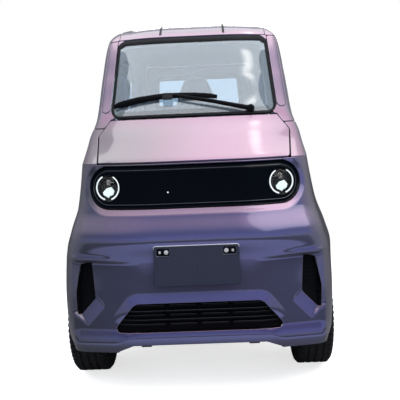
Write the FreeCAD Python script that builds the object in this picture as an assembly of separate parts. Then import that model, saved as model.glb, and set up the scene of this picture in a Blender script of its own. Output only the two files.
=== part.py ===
"""Low-speed electric city car: three seats, two side doors, a bonnet and a tailgate.

Units are millimetres. The car faces -Y, +X is its left side and +Z is up. The origin is on the
ground, midway between the front of the number plate and the tail, and midway between the sides.
Lengths called *_s are stations: distances behind the nose of the bumper.
"""
import FreeCAD, Part
import math
import os

V = FreeCAD.Vector

# ---------------------------------------------------------------- driving dimensions
CAR_LENGTH = 2350.0
PLATE_T = 3.0                    # number plate thickness, in front of the nose
NOSE_Y = -CAR_LENGTH / 2 + PLATE_T

SKIN = 12.0                      # bumper, wing and bonnet skins
WALL = 42.0                      # door, side frame, tailgate and roof thickness
SEAM = 0.3                       # between fixed neighbours
SHUT = 7.0                       # between a moving panel and its frame
GLASS_INSET = 4.0                # outer skin to outer glass face
GLASS_T = 6.0

FRONT_AXLE_S = 405.0
WHEELBASE = 1545.0
TYRE_R = 245.0
TYRE_W = 150.0
TRACK = 934.0
RIM_R = 150.0
RIM_W = 118.0
FRONT_ARCH_R = 292.0
REAR_ARCH_R = 275.0
ARCH_INNER_X = 236.0             # inner wall of the wheel houses
KINGPIN_X = 400.0
HUB_BORE_R = 20.0
SHAFT_GAP = 0.06

HUB_FACE = 8.0                   # wheel's middle plane to the face its hub seats on
STUB_L = 46.0                    # wheel's middle plane to the stub's end
KNUCKLE_REACH = 92.0             # axle to each ball joint
ARM_T = 17.0                     # suspension arms, and half their width

FLOOR_Z = 250.0
FLOOR_T = 8.0                    # floor, firewall, wheel houses and cowl
REAR_FLOOR_Z = 430.0
REAR_TUB_Z = 548.0               # top of the wheel houses
TUB_HALF_W = 380.0               # between the rear wheel houses
REAR_STEP_S = 1600.0             # where the floor steps up to the boot
FOOTWELL_BACK_S = 706.0
SILL_Z = 190.0
SILL_X = 500.0                   # inner wall of the sill's floor flange

BONNET_FRONT_Z = 915.0
BONNET_REAR_Z = 1083.0
WING_TOP_Z = 1050.0
WING_REAR_S = 748.0
ROOF_SPLIT_Z = 1469.0
ROOF_SPLIT_X = 352.0

DOOR_FRONT_S = WING_REAR_S + SHUT
DOOR_REAR_S = 1612.0
DOOR_SILL_Z = 222.0
DOOR_TOP_Z = 1436.0
HINGE_R = 3.2                    # door and tailgate hinge barrels, in the shut line
DOOR_HINGE_X = 574.0
DOOR_HINGE_ZS = (350.0, 500.0)
HINGE_L = 30.0
HINGE_LUG_W = 24.0               # hinge lug's reach inwards from the barrel
HINGE_GRIP = 12.0                # hinge lug's reach into its panel
DOOR_STEP = 10.0                 # depth from the outer skin at which the door's rear edge steps forward
DOOR_STEP_W = 14.0

BONNET_HINGE_S = 500.0
BONNET_HINGE_Z = 1085.0
BONNET_HINGE_X = 290.0
BONNET_BARREL_R = 9.0
BONNET_ARM_W = 14.0

COWL_Z = 1016.0                  # underside of the cowl box
COWL_H = 30.0
COWL_REAR_S = 660.0
FIREWALL_S = 425.0
FIREWALL_TOP_Z = 960.0
FIREWALL_HALF_W = 430.0

TAILGATE_SILL_Z = 668.0
TAIL_TOP_Z = ROOF_SPLIT_Z - SHUT
TAIL_HINGE_XS = (-150.0, 150.0)
TAIL_LUG_L = 14.0
TAIL_LUG_GRIP = 8.0
TAIL_LAMP_T = 5.0                # tail lamp's lens, proud of the quarter panel

LAMP_X = 337.0
LAMP_Z = 821.0
LAMP_R = 51.0
LAMP_RING_W = 11.0
LAMP_DEPTH = 62.0
LAMP_DOME_R = 95.0
LAMP_PROUD = 2.0                 # lamp face ahead of the skin at the lamp's middle
PILL_HALF_W = 412.0
PILL_Z = 821.0
PILL_HALF_H = 81.0
PILL_INSET = 6.0                 # outer skin to the lamp panel's face
PILL_T = 10.0

PLATE_W = 320.0
PLATE_H = 155.0
PLATE_Z = 530.0
PLATE_HOLE_PITCH = 224.0
PLATE_HOLE_R = 3.5
PLATE_HOLE_Z = 583.0
PLATE_BOSS_Z = 500.0
PLATE_BOSS_R = 16.0
GRILLE_SET_BACK = 16.0           # bumper skin to the louvres
GRILLE_T = 8.0
GRILLE_LAP = 12.0                # grille rim behind the edge of its opening
LOUVRE_REVEAL = 5.0

RAIL_X = 210.0
RAIL_W = 40.0
RAIL_H = 52.0
RAIL_FRONT_S = 70.0
RAIL_HIGH_Z = 360.0              # underside of the rails over the rear axle
RAIL_BEND_R = 60.0
CROSS_W = 40.0                   # cross members, fore and aft
BATTERY_L = 620.0
BATTERY_FRONT_S = 830.0
BATTERY_BOTTOM_Z = 158.0
SPRING_X = 290.0
SPRING_HALF_L = 260.0
SPRING_HALF_W = 25.0
SPRING_EYE_Z = 412.0             # top of the rear spring's shackles
AXLE_TUBE_R = 28.0

DASH_FRONT_S = 600.0
WHEEL_RING_R = 165.0
WHEEL_RING_T = 13.0
SEAT_TILT = 8.0
SEAT_HALF_W = 215.0
SEAT_FRONT_S = 800.0
SEAT_REAR_S = 1112.0
SEAT_BASE_Z = 415.0
SEAT_BACK_Z = 452.0
SEAT_BACK_T = 88.0
SEAT_TOP_Z = 1325.0
BENCH_HALF_W = 365.0
BENCH_FRONT_S = 1535.0
BENCH_TOP_Z = 1030.0

REAR_AXLE_S = FRONT_AXLE_S + WHEELBASE
TAIL_S = CAR_LENGTH - PLATE_T
REAR_BUMPER_S = TAIL_S - 237
DECK_REAR_S = TAIL_S - 85        # rear edge of the boot floor
BENCH_REAR_S = TAIL_S - 435      # back of the bench's cushion
PAST_TAIL_S = TAIL_S + 150
WHEEL_X = TRACK / 2

# Reaches of the cutting prisms, clear of the body
FAR = 900.0                      # sideways
INNER_X = 300.0                  # inside the side walls
AHEAD_S = -100.0
NOSE_DEPTH_S = 400.0
SCREEN_BACK_S = 1150.0
REAR_HALF_S = 1700.0
GROUND_Z = 0.0
ABOVE_Z = 1600.0

# Plan outlines of the body, bottom to top, one row per height:
# z, nose, front corner (x, s, radius), flank (x, s), side (x, s), rear corner (x, s, radius), tail
SECTIONS = [
    (190, 52, 498, 92, 80, 548, 400, 548, 1150, 505, TAIL_S - 75, 110, TAIL_S - 30),
    (260, 26, 512, 70, 90, 567, 400, 563, 1150, 518, TAIL_S - 63, 120, TAIL_S - 15),
    (400, 24, 516, 78, 100, 575, 400, 574, 1150, 527, TAIL_S - 53, 130, TAIL_S - 4),
    (545, 19, 508, 92, 115, 570, 400, 574, 1150, 527, TAIL_S - 49, 130, TAIL_S),
    (622, 0, 488, 90, 130, 548, 400, 566, 1150, 522, TAIL_S - 53, 130, TAIL_S - 3),
    (735, 48, 462, 146, 130, 507, 400, 552, 1150, 508, TAIL_S - 69, 130, TAIL_S - 18),
    (910, 84, 446, 196, 115, 479, 430, 535, 1150, 490, TAIL_S - 95, 120, TAIL_S - 42),
    (1000, 248, 450, 400, 90, 474, 600, 520, 1150, 475, TAIL_S - 111, 110, TAIL_S - 58),
    (1090, 405, 432, 518, 75, 455, 720, 503, 1150, 460, TAIL_S - 131, 100, TAIL_S - 76),
    (1280, 582, 424, 690, 72, 447, 880, 478, 1200, 435, TAIL_S - 197, 100, TAIL_S - 140),
    (1470, 765, 407, 858, 70, 428, 1030, 448, 1250, 400, TAIL_S - 285, 100, TAIL_S - 232),
    (1517, 848, 370, 925, 80, 394, 1100, 412, 1300, 362, TAIL_S - 337, 100, TAIL_S - 290),
    (1546, 960, 288, 1012, 80, 322, 1160, 338, 1350, 290, TAIL_S - 442, 90, TAIL_S - 390),
    (1560, 1090, 170, 1120, 50, 195, 1220, 200, 1400, 160, TAIL_S - 567, 50, TAIL_S - 540),
]
NOSE_FLAT = 0.55                 # share of the corner's x where the nose starts to turn
NOSE_BEND_R = 520.0
FLANK_BEND_R = 700.0


# ---------------------------------------------------------------- plane geometry
def at(s):
    """Y of a station."""
    return NOSE_Y + s


def corner(before, point, after):
    """Tangent points and middle of the arc that rounds one corner, which takes under half of each side."""
    x, y, radius = point
    to_before = V(before[0] - x, before[1] - y, 0)
    to_after = V(after[0] - x, after[1] - y, 0)
    room = 0.49 * min(to_before.Length, to_after.Length)
    to_before.normalize()
    to_after.normalize()
    half = to_before.getAngle(to_after) / 2
    reach = min(radius / math.tan(half), room)
    radius = reach * math.tan(half)
    middle = (to_before + to_after).normalize()
    tip = V(x, y, 0)
    return tip + to_before * reach, tip + middle * (radius / math.sin(half) - radius), tip + to_after * reach


def outline(points, place):
    """Closed wire of lines and tangent arcs through (u, v, radius) points; place(u, v) is in space."""
    arcs = []
    for i, point in enumerate(points):
        before, after = points[i - 1], points[(i + 1) % len(points)]
        arcs.append(corner(before, point, after) if point[2] > 0 else (V(point[0], point[1], 0),) * 3)
    edges = []
    for i, (start, middle, end) in enumerate(arcs):
        if points[i][2] > 0:
            edges.append(Part.Arc(*(place(p.x, p.y) for p in (start, middle, end))).toShape())
        following = arcs[(i + 1) % len(arcs)][0]
        edges.append(Part.LineSegment(place(end.x, end.y), place(following.x, following.y)).toShape())
    return Part.Wire(edges)


def grown(points, gap):
    """The outline points moved outwards by gap, or inwards if gap is negative."""
    area = sum(a[0] * b[1] - b[0] * a[1] for a, b in zip(points, points[1:] + points[:1]))
    turn = 1 if area > 0 else -1
    result = []
    for i, (x, y, radius) in enumerate(points):
        before, after = points[i - 1], points[(i + 1) % len(points)]
        d1 = V(x - before[0], y - before[1], 0).normalize()
        d2 = V(after[0] - x, after[1] - y, 0).normalize()
        n1, n2 = V(d1.y, -d1.x, 0) * turn, V(d2.y, -d2.x, 0) * turn
        convex = (d1.x * d2.y - d1.y * d2.x) * turn > 0
        shift = (n1 + n2) * (gap / (1 + n1.dot(n2)))
        new_radius = max(radius + (gap if convex else -gap), 1.0) if radius > 0 else 0
        result.append((x + shift.x, y + shift.y, new_radius))
    return result


def mirrored(half):
    """A whole outline from the +X half, whose points run from the middle line round to it again."""
    return half + [(-x, y, radius) for x, y, radius in reversed(half)]


# ---------------------------------------------------------------- solids
def block(x0, x1, s0, s1, z0, z1):
    return Part.makeBox(x1 - x0, s1 - s0, z1 - z0, V(x0, at(s0), z0))


def along_x(points, x0, x1):
    """Prism of a side-view outline of (station, z, radius) points."""
    return Part.Face(outline(points, lambda s, z: V(x0, at(s), z))).extrude(V(x1 - x0, 0, 0))


def along_y(points, s0, s1):
    """Prism of a front-view outline of (x, z, radius) points."""
    return Part.Face(outline(points, lambda x, z: V(x, at(s0), z))).extrude(V(0, s1 - s0, 0))


def along_z(points, z0, z1):
    """Prism of a plan outline of (x, station, radius) points."""
    return Part.Face(outline(points, lambda x, s: V(x, at(s), z0))).extrude(V(0, 0, z1 - z0))


def rod_x(radius, x0, x1, s, z):
    return Part.makeCylinder(radius, x1 - x0, V(x0, at(s), z), V(1, 0, 0))


def rod_y(radius, s0, s1, x, z):
    return Part.makeCylinder(radius, s1 - s0, V(x, at(s0), z), V(0, 1, 0))


def rod_z(radius, z0, z1, x, s):
    return Part.makeCylinder(radius, z1 - z0, V(x, at(s), z0), V(0, 0, 1))


def rod(radius, start, end):
    way = end - start
    return Part.makeCylinder(radius, way.Length, start, way)


def joined(*pieces):
    shape = pieces[0]
    if len(pieces) > 1:
        shape = shape.fuse(list(pieces[1:]))
    return shape.removeSplitter()


def flipped(shape):
    """The same piece on the car's other side."""
    return shape.mirror(V(0, 0, 0), V(1, 0, 0))


def largest(shape):
    return max(shape.Solids, key=lambda solid: solid.Volume)


def save(name, *solids):
    shape = solids[0] if len(solids) == 1 else Part.makeCompound(list(solids))
    if len(shape.Solids) == 1:
        shape = shape.Solids[0]
    shape.exportStep("parts/" + name + ".step")
    print(name, len(shape.Solids), "solids", round(shape.Volume / 1e6, 2), "litres", shape.isValid())


# ---------------------------------------------------------------- body surface
def section(row, inset):
    z, nose, fx, fs, fr, kx, ks, sx, ss, rx, rs, rr, tail = row
    half = [(fx * NOSE_FLAT, nose, NOSE_BEND_R), (fx, fs, fr), (kx, ks, FLANK_BEND_R),
            (sx, ss, FLANK_BEND_R), (rx, rs, rr), (rx * NOSE_FLAT, tail, NOSE_BEND_R)]
    return grown(mirrored(half), -inset)


def envelope(inset=0.0):
    """The whole body as one solid, inset from the outer surface and open below where it is inset."""
    wires = []
    for row in SECTIONS:
        z = row[0] - inset
        wires.append(outline(section(row, inset), lambda x, s, z=z: V(x, at(s), z)))
    return Part.makeLoft(wires, True, True)


def skin_s(body, x, z, from_front=True):
    """Station of the body's outer surface at x and z."""
    line = Part.LineSegment(V(x, -3000, z), V(x, 3000, z)).toShape()
    ys = [vertex.Point.y for vertex in body.common(line).Vertexes]
    return (min(ys) if from_front else max(ys)) - NOSE_Y


os.makedirs("parts", exist_ok=True)
BODY = envelope()
SKIN_SHELL = BODY.cut(envelope(SKIN))
WALL_SHELL = BODY.cut(envelope(WALL))
INSIDE = envelope(WALL + SEAM)
GLASS_SHEET = envelope(GLASS_INSET).cut(envelope(GLASS_INSET + GLASS_T))

# ---------------------------------------------------------------- outlines of panels
WINDSCREEN = mirrored([(368, BONNET_REAR_Z + SHUT, 45), (355, 1464, 40)])
DOOR = [(DOOR_FRONT_S, DOOR_SILL_Z, 30), (DOOR_REAR_S, DOOR_SILL_Z, 60), (DOOR_REAR_S, DOOR_TOP_Z, 70),
        (992, DOOR_TOP_Z, 60), (DOOR_FRONT_S, 1120, 60)]
DOOR_WINDOW = [(DOOR_FRONT_S + 75, 985, 35), (DOOR_REAR_S - 70, 985, 45),
               (DOOR_REAR_S - 70, DOOR_TOP_Z - 48, 55), (1032, DOOR_TOP_Z - 48, 45),
               (DOOR_FRONT_S + 75, 1135, 45)]
QUARTER_WINDOW = [(DOOR_REAR_S + 75, 1010, 40), (TAIL_S - 312, 1030, 50), (TAIL_S - 417, DOOR_TOP_Z - 52, 60),
                  (DOOR_REAR_S + 75, DOOR_TOP_Z - 48, 55)]
TAILGATE = mirrored([(428, TAILGATE_SILL_Z, 55), (424, 1000, 500), (352, TAIL_TOP_Z, 45)])
REAR_WINDOW = mirrored([(325, 1150, 50), (302, 1405, 50)])
BONNET_PLAN = mirrored([(372, -60, 0), (372, 130, 60), (405, 400, 25), (330, 520, 0)])
BUMPER_SIDE = [(-60, 150, 0), (150, 150, 0), (158, 420, 90), (238, 760, 40), (215, BONNET_FRONT_Z - 5, 0),
               (-60, BONNET_FRONT_Z - 5, 0)]
PILL = mirrored([(PILL_HALF_W, PILL_Z - PILL_HALF_H, PILL_HALF_H - 1),
                 (PILL_HALF_W, PILL_Z + PILL_HALF_H, PILL_HALF_H - 1)])
LOWER_GRILLE = mirrored([(334, 270, 14), (243, 384, 42)])
SIDE_GRILLE = [(398, 418, 20), (402, 396, 10), (458, 336, 6), (472, 336, 6), (474, 420, 60), (454, 532, 12),
               (406, 542, 6)]
CHIN_NOTCH = mirrored([(322, 150, 0), (318, 188, 20), (255, 216, 20)])


# ---------------------------------------------------------------- front panels
def wheel_house(s, radius, x0=ARCH_INNER_X, x1=FAR):
    return [rod_x(radius, x0, x1, s, TYRE_R), rod_x(radius, -x1, -x0, s, TYRE_R)]


def front_bumper():
    side = along_x(BUMPER_SIDE, -FAR, FAR)
    bumper = SKIN_SHELL.common(side).cut(wheel_house(FRONT_AXLE_S, FRONT_ARCH_R))
    outlines = (grown(PILL, SEAM), LOWER_GRILLE, CHIN_NOTCH, SIDE_GRILLE)
    holes = [along_y(points, AHEAD_S, NOSE_DEPTH_S) for points in outlines]
    return largest(bumper.cut(holes + [flipped(holes[-1])]))


def front_panel():
    """Black lamp panel between the headlamps."""
    sheet = envelope(PILL_INSET).cut(envelope(PILL_INSET + PILL_T))
    sheet = sheet.common(along_y(PILL, AHEAD_S, NOSE_DEPTH_S))
    bore = rod_y(LAMP_R + SEAM, AHEAD_S, NOSE_DEPTH_S, LAMP_X, LAMP_Z)
    return largest(sheet.cut([bore, flipped(bore)]))


def headlamp():
    """Left round lamp: a bezel ring round a domed glass, with its housing behind."""
    face_s = skin_s(BODY, LAMP_X, LAMP_Z) - LAMP_PROUD
    bowl_depth, dome_inset, lap = 12.0, 2.0, 2.0
    glass_r = LAMP_R - LAMP_RING_W
    housing = rod_y(LAMP_R, face_s, face_s + LAMP_DEPTH, LAMP_X, LAMP_Z)
    bowl = rod_y(glass_r, face_s - 1, face_s + bowl_depth, LAMP_X, LAMP_Z)
    dome = Part.makeSphere(LAMP_DOME_R, V(LAMP_X, at(face_s + dome_inset + LAMP_DOME_R), LAMP_Z))
    dome = dome.common(rod_y(glass_r, face_s - 1, face_s + bowl_depth + lap, LAMP_X, LAMP_Z))
    return joined(housing.cut(bowl), dome)


def grille(points, louvres, ribs):
    """Insert behind an opening of the bumper: a rim, and a plate of louvres and ribs set back."""
    depth = SKIN + GRILLE_SET_BACK
    opening = along_y(points, AHEAD_S, NOSE_DEPTH_S)
    band = envelope(SKIN + SEAM).cut(envelope(depth + GRILLE_T))
    rim = band.common(along_y(grown(points, GRILLE_LAP), AHEAD_S, NOSE_DEPTH_S))
    pocket = envelope(SKIN + SEAM - LOUVRE_REVEAL).cut(envelope(depth)).common(opening)
    insert = largest(rim.cut(pocket))
    return insert.cut([opening.common(gap) for gap in slots(louvres, ribs)])


def slots(louvres, ribs):
    """Gaps between louvre bars: louvres is (first z, last z, count, gap height); ribs are x ranges."""
    first, last, count, height = louvres
    pitch = (last - first) / (count - 1)
    return [block(x0, x1, AHEAD_S, NOSE_DEPTH_S, first + i * pitch, first + i * pitch + height)
            for i in range(count) for x0, x1 in ribs]


def number_plate():
    plate = block(-PLATE_W / 2, PLATE_W / 2, -PLATE_T, 0, PLATE_Z - PLATE_H / 2, PLATE_Z + PLATE_H / 2)
    clear = BODY.translated(V(0, -SEAM, 0))
    xs = (PLATE_HOLE_PITCH / 2, -PLATE_HOLE_PITCH / 2)
    bosses = [rod_y(PLATE_BOSS_R, -1, 40, x, PLATE_BOSS_Z).cut(clear) for x in xs]
    holes = [rod_y(PLATE_HOLE_R, -PLATE_T - 1, 3, x, PLATE_HOLE_Z) for x in xs]
    return joined(plate, *bosses).cut(holes)


def screen_plug(above=3, below=60):
    """The room behind the bonnet's rear edge, whose front face carries the windscreen's slope down."""
    low, high = SECTIONS[8:10]
    rake = (high[1] - low[1]) / (high[0] - low[0])
    face = Part.Face(BODY.slice(V(0, 0, 1), BONNET_REAR_Z)[0])
    face.translate(V(0, rake * above, above))
    return face.extrude(V(0, -rake * (above + below), -above - below))


def bonnet():
    panel = SKIN_SHELL.common(along_z(BONNET_PLAN, BONNET_FRONT_Z, BONNET_REAR_Z))
    panel = largest(panel.cut(screen_plug()))
    arm = gooseneck().common(envelope(SKIN / 2))
    return largest(joined(panel, arm, flipped(arm)))


def gooseneck():
    """Left bonnet hinge arm: from the barrel down under the glass edge and up to the panel."""
    drop, reach, wide = 62, 120, 12
    s, z = BONNET_HINGE_S, BONNET_HINGE_Z
    x0, x1 = BONNET_HINGE_X - BONNET_ARM_W / 2, BONNET_HINGE_X + BONNET_ARM_W / 2
    path = [(s - 8, z + 4, 0), (s - 8, z - drop, 8), (s - reach + wide, z - drop, 8),
            (s - reach + wide, z + 6, 0), (s - reach, z + 6, 0), (s - reach, z - drop - wide, 8),
            (s + 6, z - drop - wide, 8), (s + 6, z + 4, 0)]
    return joined(along_x(path, x0, x1), rod_x(BONNET_BARREL_R, x0, x1, s, z))


def wing():
    """Left front wing, from the bumper seam to the door, below the pillar."""
    inner_x = 330.0
    shape = SKIN_SHELL.common(block(inner_x, FAR, AHEAD_S, WING_REAR_S, GROUND_Z, WING_TOP_Z))
    cuts = [along_x(grown(BUMPER_SIDE, SEAM), -FAR, FAR),
            along_z(grown(BONNET_PLAN, SHUT), BONNET_FRONT_Z - SHUT - 1, ABOVE_Z)]
    return largest(shape.cut(cuts + wheel_house(FRONT_AXLE_S, FRONT_ARCH_R)))


# ---------------------------------------------------------------- cabin shell
def side_frame():
    """Left pillars, roof rail, sill and rear quarter, round the door."""
    shape = WALL_SHELL.common(block(0, FAR, AHEAD_S, PAST_TAIL_S, GROUND_Z, ABOVE_Z))
    cuts = [block(-1, FAR, AHEAD_S, WING_REAR_S + SEAM, GROUND_Z, WING_TOP_Z + SEAM),
            block(-1, ROOF_SPLIT_X + SEAM, AHEAD_S, PAST_TAIL_S, ROOF_SPLIT_Z, ABOVE_Z),
            along_z(grown(BONNET_PLAN, SHUT), BONNET_FRONT_Z, BONNET_REAR_Z + SHUT),
            block(-1, ROOF_SPLIT_X, AHEAD_S, SCREEN_BACK_S, WING_TOP_Z, BONNET_REAR_Z + SHUT + 1),
            along_y(grown(WINDSCREEN, SEAM), AHEAD_S, SCREEN_BACK_S),
            along_x(grown(DOOR, SHUT), INNER_X, FAR),
            along_x(QUARTER_WINDOW, INNER_X, FAR),
            along_y(grown(TAILGATE, SHUT), REAR_HALF_S, PAST_TAIL_S),
            block(-1, INNER_X, DECK_REAR_S - 262, PAST_TAIL_S, GROUND_Z, ROOF_SPLIT_Z),
            block(-1, FAR, REAR_BUMPER_S - SEAM, PAST_TAIL_S, GROUND_Z, TAILGATE_SILL_Z - SHUT)]
    shape = largest(shape.cut(cuts + wheel_house(REAR_AXLE_S, REAR_ARCH_R)))
    for z in DOOR_HINGE_ZS:
        shape = shape.fuse(hinge_half(z, DOOR_FRONT_S - SHUT - HINGE_GRIP, DOOR_FRONT_S - SHUT / 2))
    return largest(shape.removeSplitter())


def hinge_half(z, s0, s1):
    """Barrel of a lift-off hinge in the shut line ahead of the door, with its lug from s0 to s1."""
    barrel = rod_z(HINGE_R, z, z + HINGE_L, DOOR_HINGE_X, DOOR_FRONT_S - SHUT / 2)
    lug = block(DOOR_HINGE_X - HINGE_LUG_W, DOOR_HINGE_X + HINGE_R / 2, s0, s1, z, z + HINGE_L)
    return joined(barrel, lug)


def roof_panel():
    zone = block(-ROOF_SPLIT_X, ROOF_SPLIT_X, AHEAD_S, PAST_TAIL_S, ROOF_SPLIT_Z, ABOVE_Z)
    shape = largest(WALL_SHELL.common(zone))
    s, z = tail_hinge_s(), TAIL_TOP_Z + SHUT / 2
    for x in TAIL_HINGE_XS:
        lug = block(x - HINGE_L, x, s - TAIL_LUG_L, s, z, z + SHUT / 2 + TAIL_LUG_GRIP)
        shape = shape.fuse([rod_x(HINGE_R, x - HINGE_L, x, s, z), lug])
    return largest(shape.removeSplitter())


def tail_hinge_s():
    return skin_s(BODY, 0, TAIL_TOP_Z, from_front=False) - 2


def window(points, prism, *span):
    return largest(GLASS_SHEET.common(prism(grown(points, -SEAM), *span)))


# ---------------------------------------------------------------- doors and tailgate
def door():
    """Left door, hung at its front edge on two lift-off hinges."""
    panel = largest(WALL_SHELL.common(along_x(DOOR, INNER_X, FAR)))
    inner = [(s - DOOR_STEP_W, z, radius) for s, z, radius in DOOR]
    rear_band = 130.0
    step = block(0, FAR, DOOR_REAR_S - rear_band, DOOR_REAR_S + 1, GROUND_Z, ABOVE_Z)
    step = step.common(envelope(DOOR_STEP)).cut(along_x(inner, -1, FAR + 1))
    panel = largest(panel.cut([along_x(DOOR_WINDOW, INNER_X, FAR), step]))
    s0, s1 = DOOR_FRONT_S - SHUT / 2, DOOR_FRONT_S + HINGE_GRIP
    halves = [hinge_half(z + HINGE_L + SEAM, s0, s1) for z in DOOR_HINGE_ZS]
    return largest(joined(panel, *halves))


def tailgate():
    panel = largest(WALL_SHELL.common(along_y(TAILGATE, REAR_HALF_S, PAST_TAIL_S)))
    panel = largest(panel.cut(along_y(REAR_WINDOW, REAR_HALF_S, PAST_TAIL_S)))
    s, z = tail_hinge_s(), TAIL_TOP_Z + SHUT / 2
    halves = []
    for x in TAIL_HINGE_XS:
        halves.append(rod_x(HINGE_R, x + SEAM, x + HINGE_L, s, z))
        halves.append(block(x + SEAM, x + HINGE_L, s - TAIL_LUG_L, s, TAIL_TOP_Z - TAIL_LUG_GRIP, z))
    return largest(joined(panel, *halves))


def rear_bumper():
    zone = block(-FAR, FAR, REAR_BUMPER_S, PAST_TAIL_S, GROUND_Z, TAILGATE_SILL_Z - SHUT)
    return largest(SKIN_SHELL.common(zone).cut(wheel_house(REAR_AXLE_S, REAR_ARCH_R)))


def tail_lamp():
    """Left rear lamp, proud of the quarter panel beside the tailgate."""
    points = [(444, 748, 14), (484, 748, 14), (472, 925, 14), (440, 925, 14)]
    lens = BODY.translated(V(0, TAIL_LAMP_T, 0)).cut(BODY.translated(V(0, SEAM, 0)))
    return largest(lens.common(along_y(points, TAIL_S - 247, PAST_TAIL_S)))


# ---------------------------------------------------------------- underbody
def floor_pan():
    """Floor, centre footwell, wheel houses, firewall, rear floor and rear panel as one pressing."""
    t = FLOOR_T
    tunnel_x, house_outer_x = ARCH_INNER_X - t, 470.0
    house_top_z, deck_top_z, sill_z = REAR_TUB_Z + t, REAR_FLOOR_Z + t, SILL_Z + 6
    plates = [
        block(-tunnel_x, tunnel_x, FIREWALL_S, FOOTWELL_BACK_S + t, FLOOR_Z, FLOOR_Z + t),
        block(-FAR, FAR, FOOTWELL_BACK_S, REAR_STEP_S, FLOOR_Z, FLOOR_Z + t),
        block(-FIREWALL_HALF_W, FIREWALL_HALF_W, FIREWALL_S - t, FIREWALL_S, REAR_TUB_Z, FIREWALL_TOP_Z),
        block(-tunnel_x, tunnel_x, FIREWALL_S - t, FIREWALL_S, FLOOR_Z, house_top_z),
        block(-FAR, FAR, REAR_STEP_S - t, REAR_STEP_S, FLOOR_Z, deck_top_z),
        block(-TUB_HALF_W, TUB_HALF_W, REAR_STEP_S - t, DECK_REAR_S, REAR_FLOOR_Z, deck_top_z),
    ]
    # Left half of each pair: x0, x1, s0, s1, z0, z1
    sides = (
        (tunnel_x, tunnel_x + t, FIREWALL_S - t, FOOTWELL_BACK_S, FLOOR_Z, house_top_z),
        (tunnel_x, house_outer_x, FIREWALL_S - t, FOOTWELL_BACK_S, REAR_TUB_Z, house_top_z),
        (tunnel_x, FAR, FOOTWELL_BACK_S, FOOTWELL_BACK_S + t, FLOOR_Z, house_top_z),
        (TUB_HALF_W - t, TUB_HALF_W, REAR_STEP_S - t, DECK_REAR_S, REAR_FLOOR_Z, house_top_z),
        (TUB_HALF_W - t, FAR, REAR_STEP_S - t, DECK_REAR_S - 62, REAR_TUB_Z, house_top_z),
        (TUB_HALF_W - t, FAR, REAR_STEP_S - t, REAR_STEP_S, FLOOR_Z, house_top_z),
        (SILL_X, FAR, DOOR_FRONT_S, REAR_STEP_S, sill_z, sill_z + t),
        (SILL_X, SILL_X + t, DOOR_FRONT_S, REAR_STEP_S, sill_z, FLOOR_Z + t),
    )
    left = [block(*sizes) for sizes in sides]
    pan = joined(*plates, *left, *[flipped(plate) for plate in left])
    door_zone = (WING_REAR_S, DOOR_REAR_S + SHUT)
    under_door_z = DOOR_SILL_Z - SHUT - 1
    zones = ((0, door_zone[0], GROUND_Z, ABOVE_Z, envelope(SKIN + 4)),
             (*door_zone, GROUND_Z, under_door_z, INSIDE),
             (*door_zone, under_door_z, ABOVE_Z, envelope(WALL + SHUT)),
             (door_zone[1], PAST_TAIL_S, GROUND_Z, ABOVE_Z, INSIDE))
    parts = [pan.common(block(-FAR, FAR, s0, s1, z0, z1)).common(inside) for s0, s1, z0, z1, inside in zones]
    return largest(joined(*parts).cut(wheel_house(REAR_AXLE_S, REAR_ARCH_R, TUB_HALF_W + 2)))


def cowl_panel():
    """Box under the windscreen between the wings, which carries the bonnet hinges."""
    t = FLOOR_T
    half_w, post_w, post_l = FIREWALL_HALF_W - 10, 16.0, 34.0
    step_s = BONNET_HINGE_S + 45
    box = block(-FAR, FAR, BONNET_HINGE_S + 16, COWL_REAR_S, COWL_Z, COWL_Z + COWL_H)
    shelf = block(-half_w, half_w, FIREWALL_S - t, step_s, FIREWALL_TOP_Z + SEAM, FIREWALL_TOP_Z + t)
    riser = block(-half_w, half_w, step_s - t, step_s, FIREWALL_TOP_Z + SEAM, COWL_Z + 4)
    x = BONNET_HINGE_X + BONNET_ARM_W / 2 + SEAM
    pin = rod_x(BONNET_BARREL_R, x, x + post_w, BONNET_HINGE_S, BONNET_HINGE_Z)
    post = block(x, x + post_w, BONNET_HINGE_S - 4, BONNET_HINGE_S - 4 + post_l, COWL_Z, BONNET_HINGE_Z)
    posts = [pin, post, flipped(pin), flipped(post)]
    return joined(box.common(envelope(SKIN + SEAM)), shelf, riser, *posts)


def chassis_frame():
    """Two rails that kick up over the rear axle, with cross members and the front bumper beam."""
    low, high, h, bend = FLOOR_Z - SEAM - RAIL_H, RAIL_HIGH_Z, RAIL_H, RAIL_BEND_R
    front_s, rear_s = RAIL_FRONT_S, TAIL_S - 61
    kick_s, kick_l, lean = REAR_STEP_S + 46, 120.0, 20.0
    side = [(front_s, low, 0), (kick_s, low, bend), (kick_s + kick_l, high, bend), (rear_s, high, 0),
            (rear_s, high + h, 0), (kick_s + kick_l - lean, high + h, bend), (kick_s - lean, low + h, bend),
            (front_s, low + h, 0)]
    pieces = [along_x(side, x - RAIL_W / 2, x + RAIL_W / 2) for x in (-RAIL_X, RAIL_X)]
    pieces += [block(x - 15, x + 15, front_s, front_s + 30, low, 430) for x in (-RAIL_X, RAIL_X)]
    crossings = ((front_s + 80, low), (BATTERY_FRONT_S - 70, low), (BATTERY_FRONT_S + BATTERY_L + 30, low),
                 (rear_s - 46, high))
    pieces += [block(-RAIL_X, RAIL_X, s, s + CROSS_W, z, z + h) for s, z in crossings]
    front_beam = block(-370, 370, front_s - 4, front_s + 22, 405, 455)
    rear_beam = block(-430, 430, rear_s, rear_s + 20, high, high + 60).common(envelope(SKIN + SEAM))
    return joined(*pieces, front_beam, rear_beam)


def battery_pack():
    half = RAIL_X - RAIL_W / 2 - SEAM
    return block(-half, half, BATTERY_FRONT_S, BATTERY_FRONT_S + BATTERY_L, BATTERY_BOTTOM_Z, FLOOR_Z - SEAM)


# ---------------------------------------------------------------- wheels and running gear
FLANGE_H = 8.0                   # rim flange above the bead seat
FLANGE_T = 5.0
TREAD_R = 26.0                   # tyre's shoulder


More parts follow.
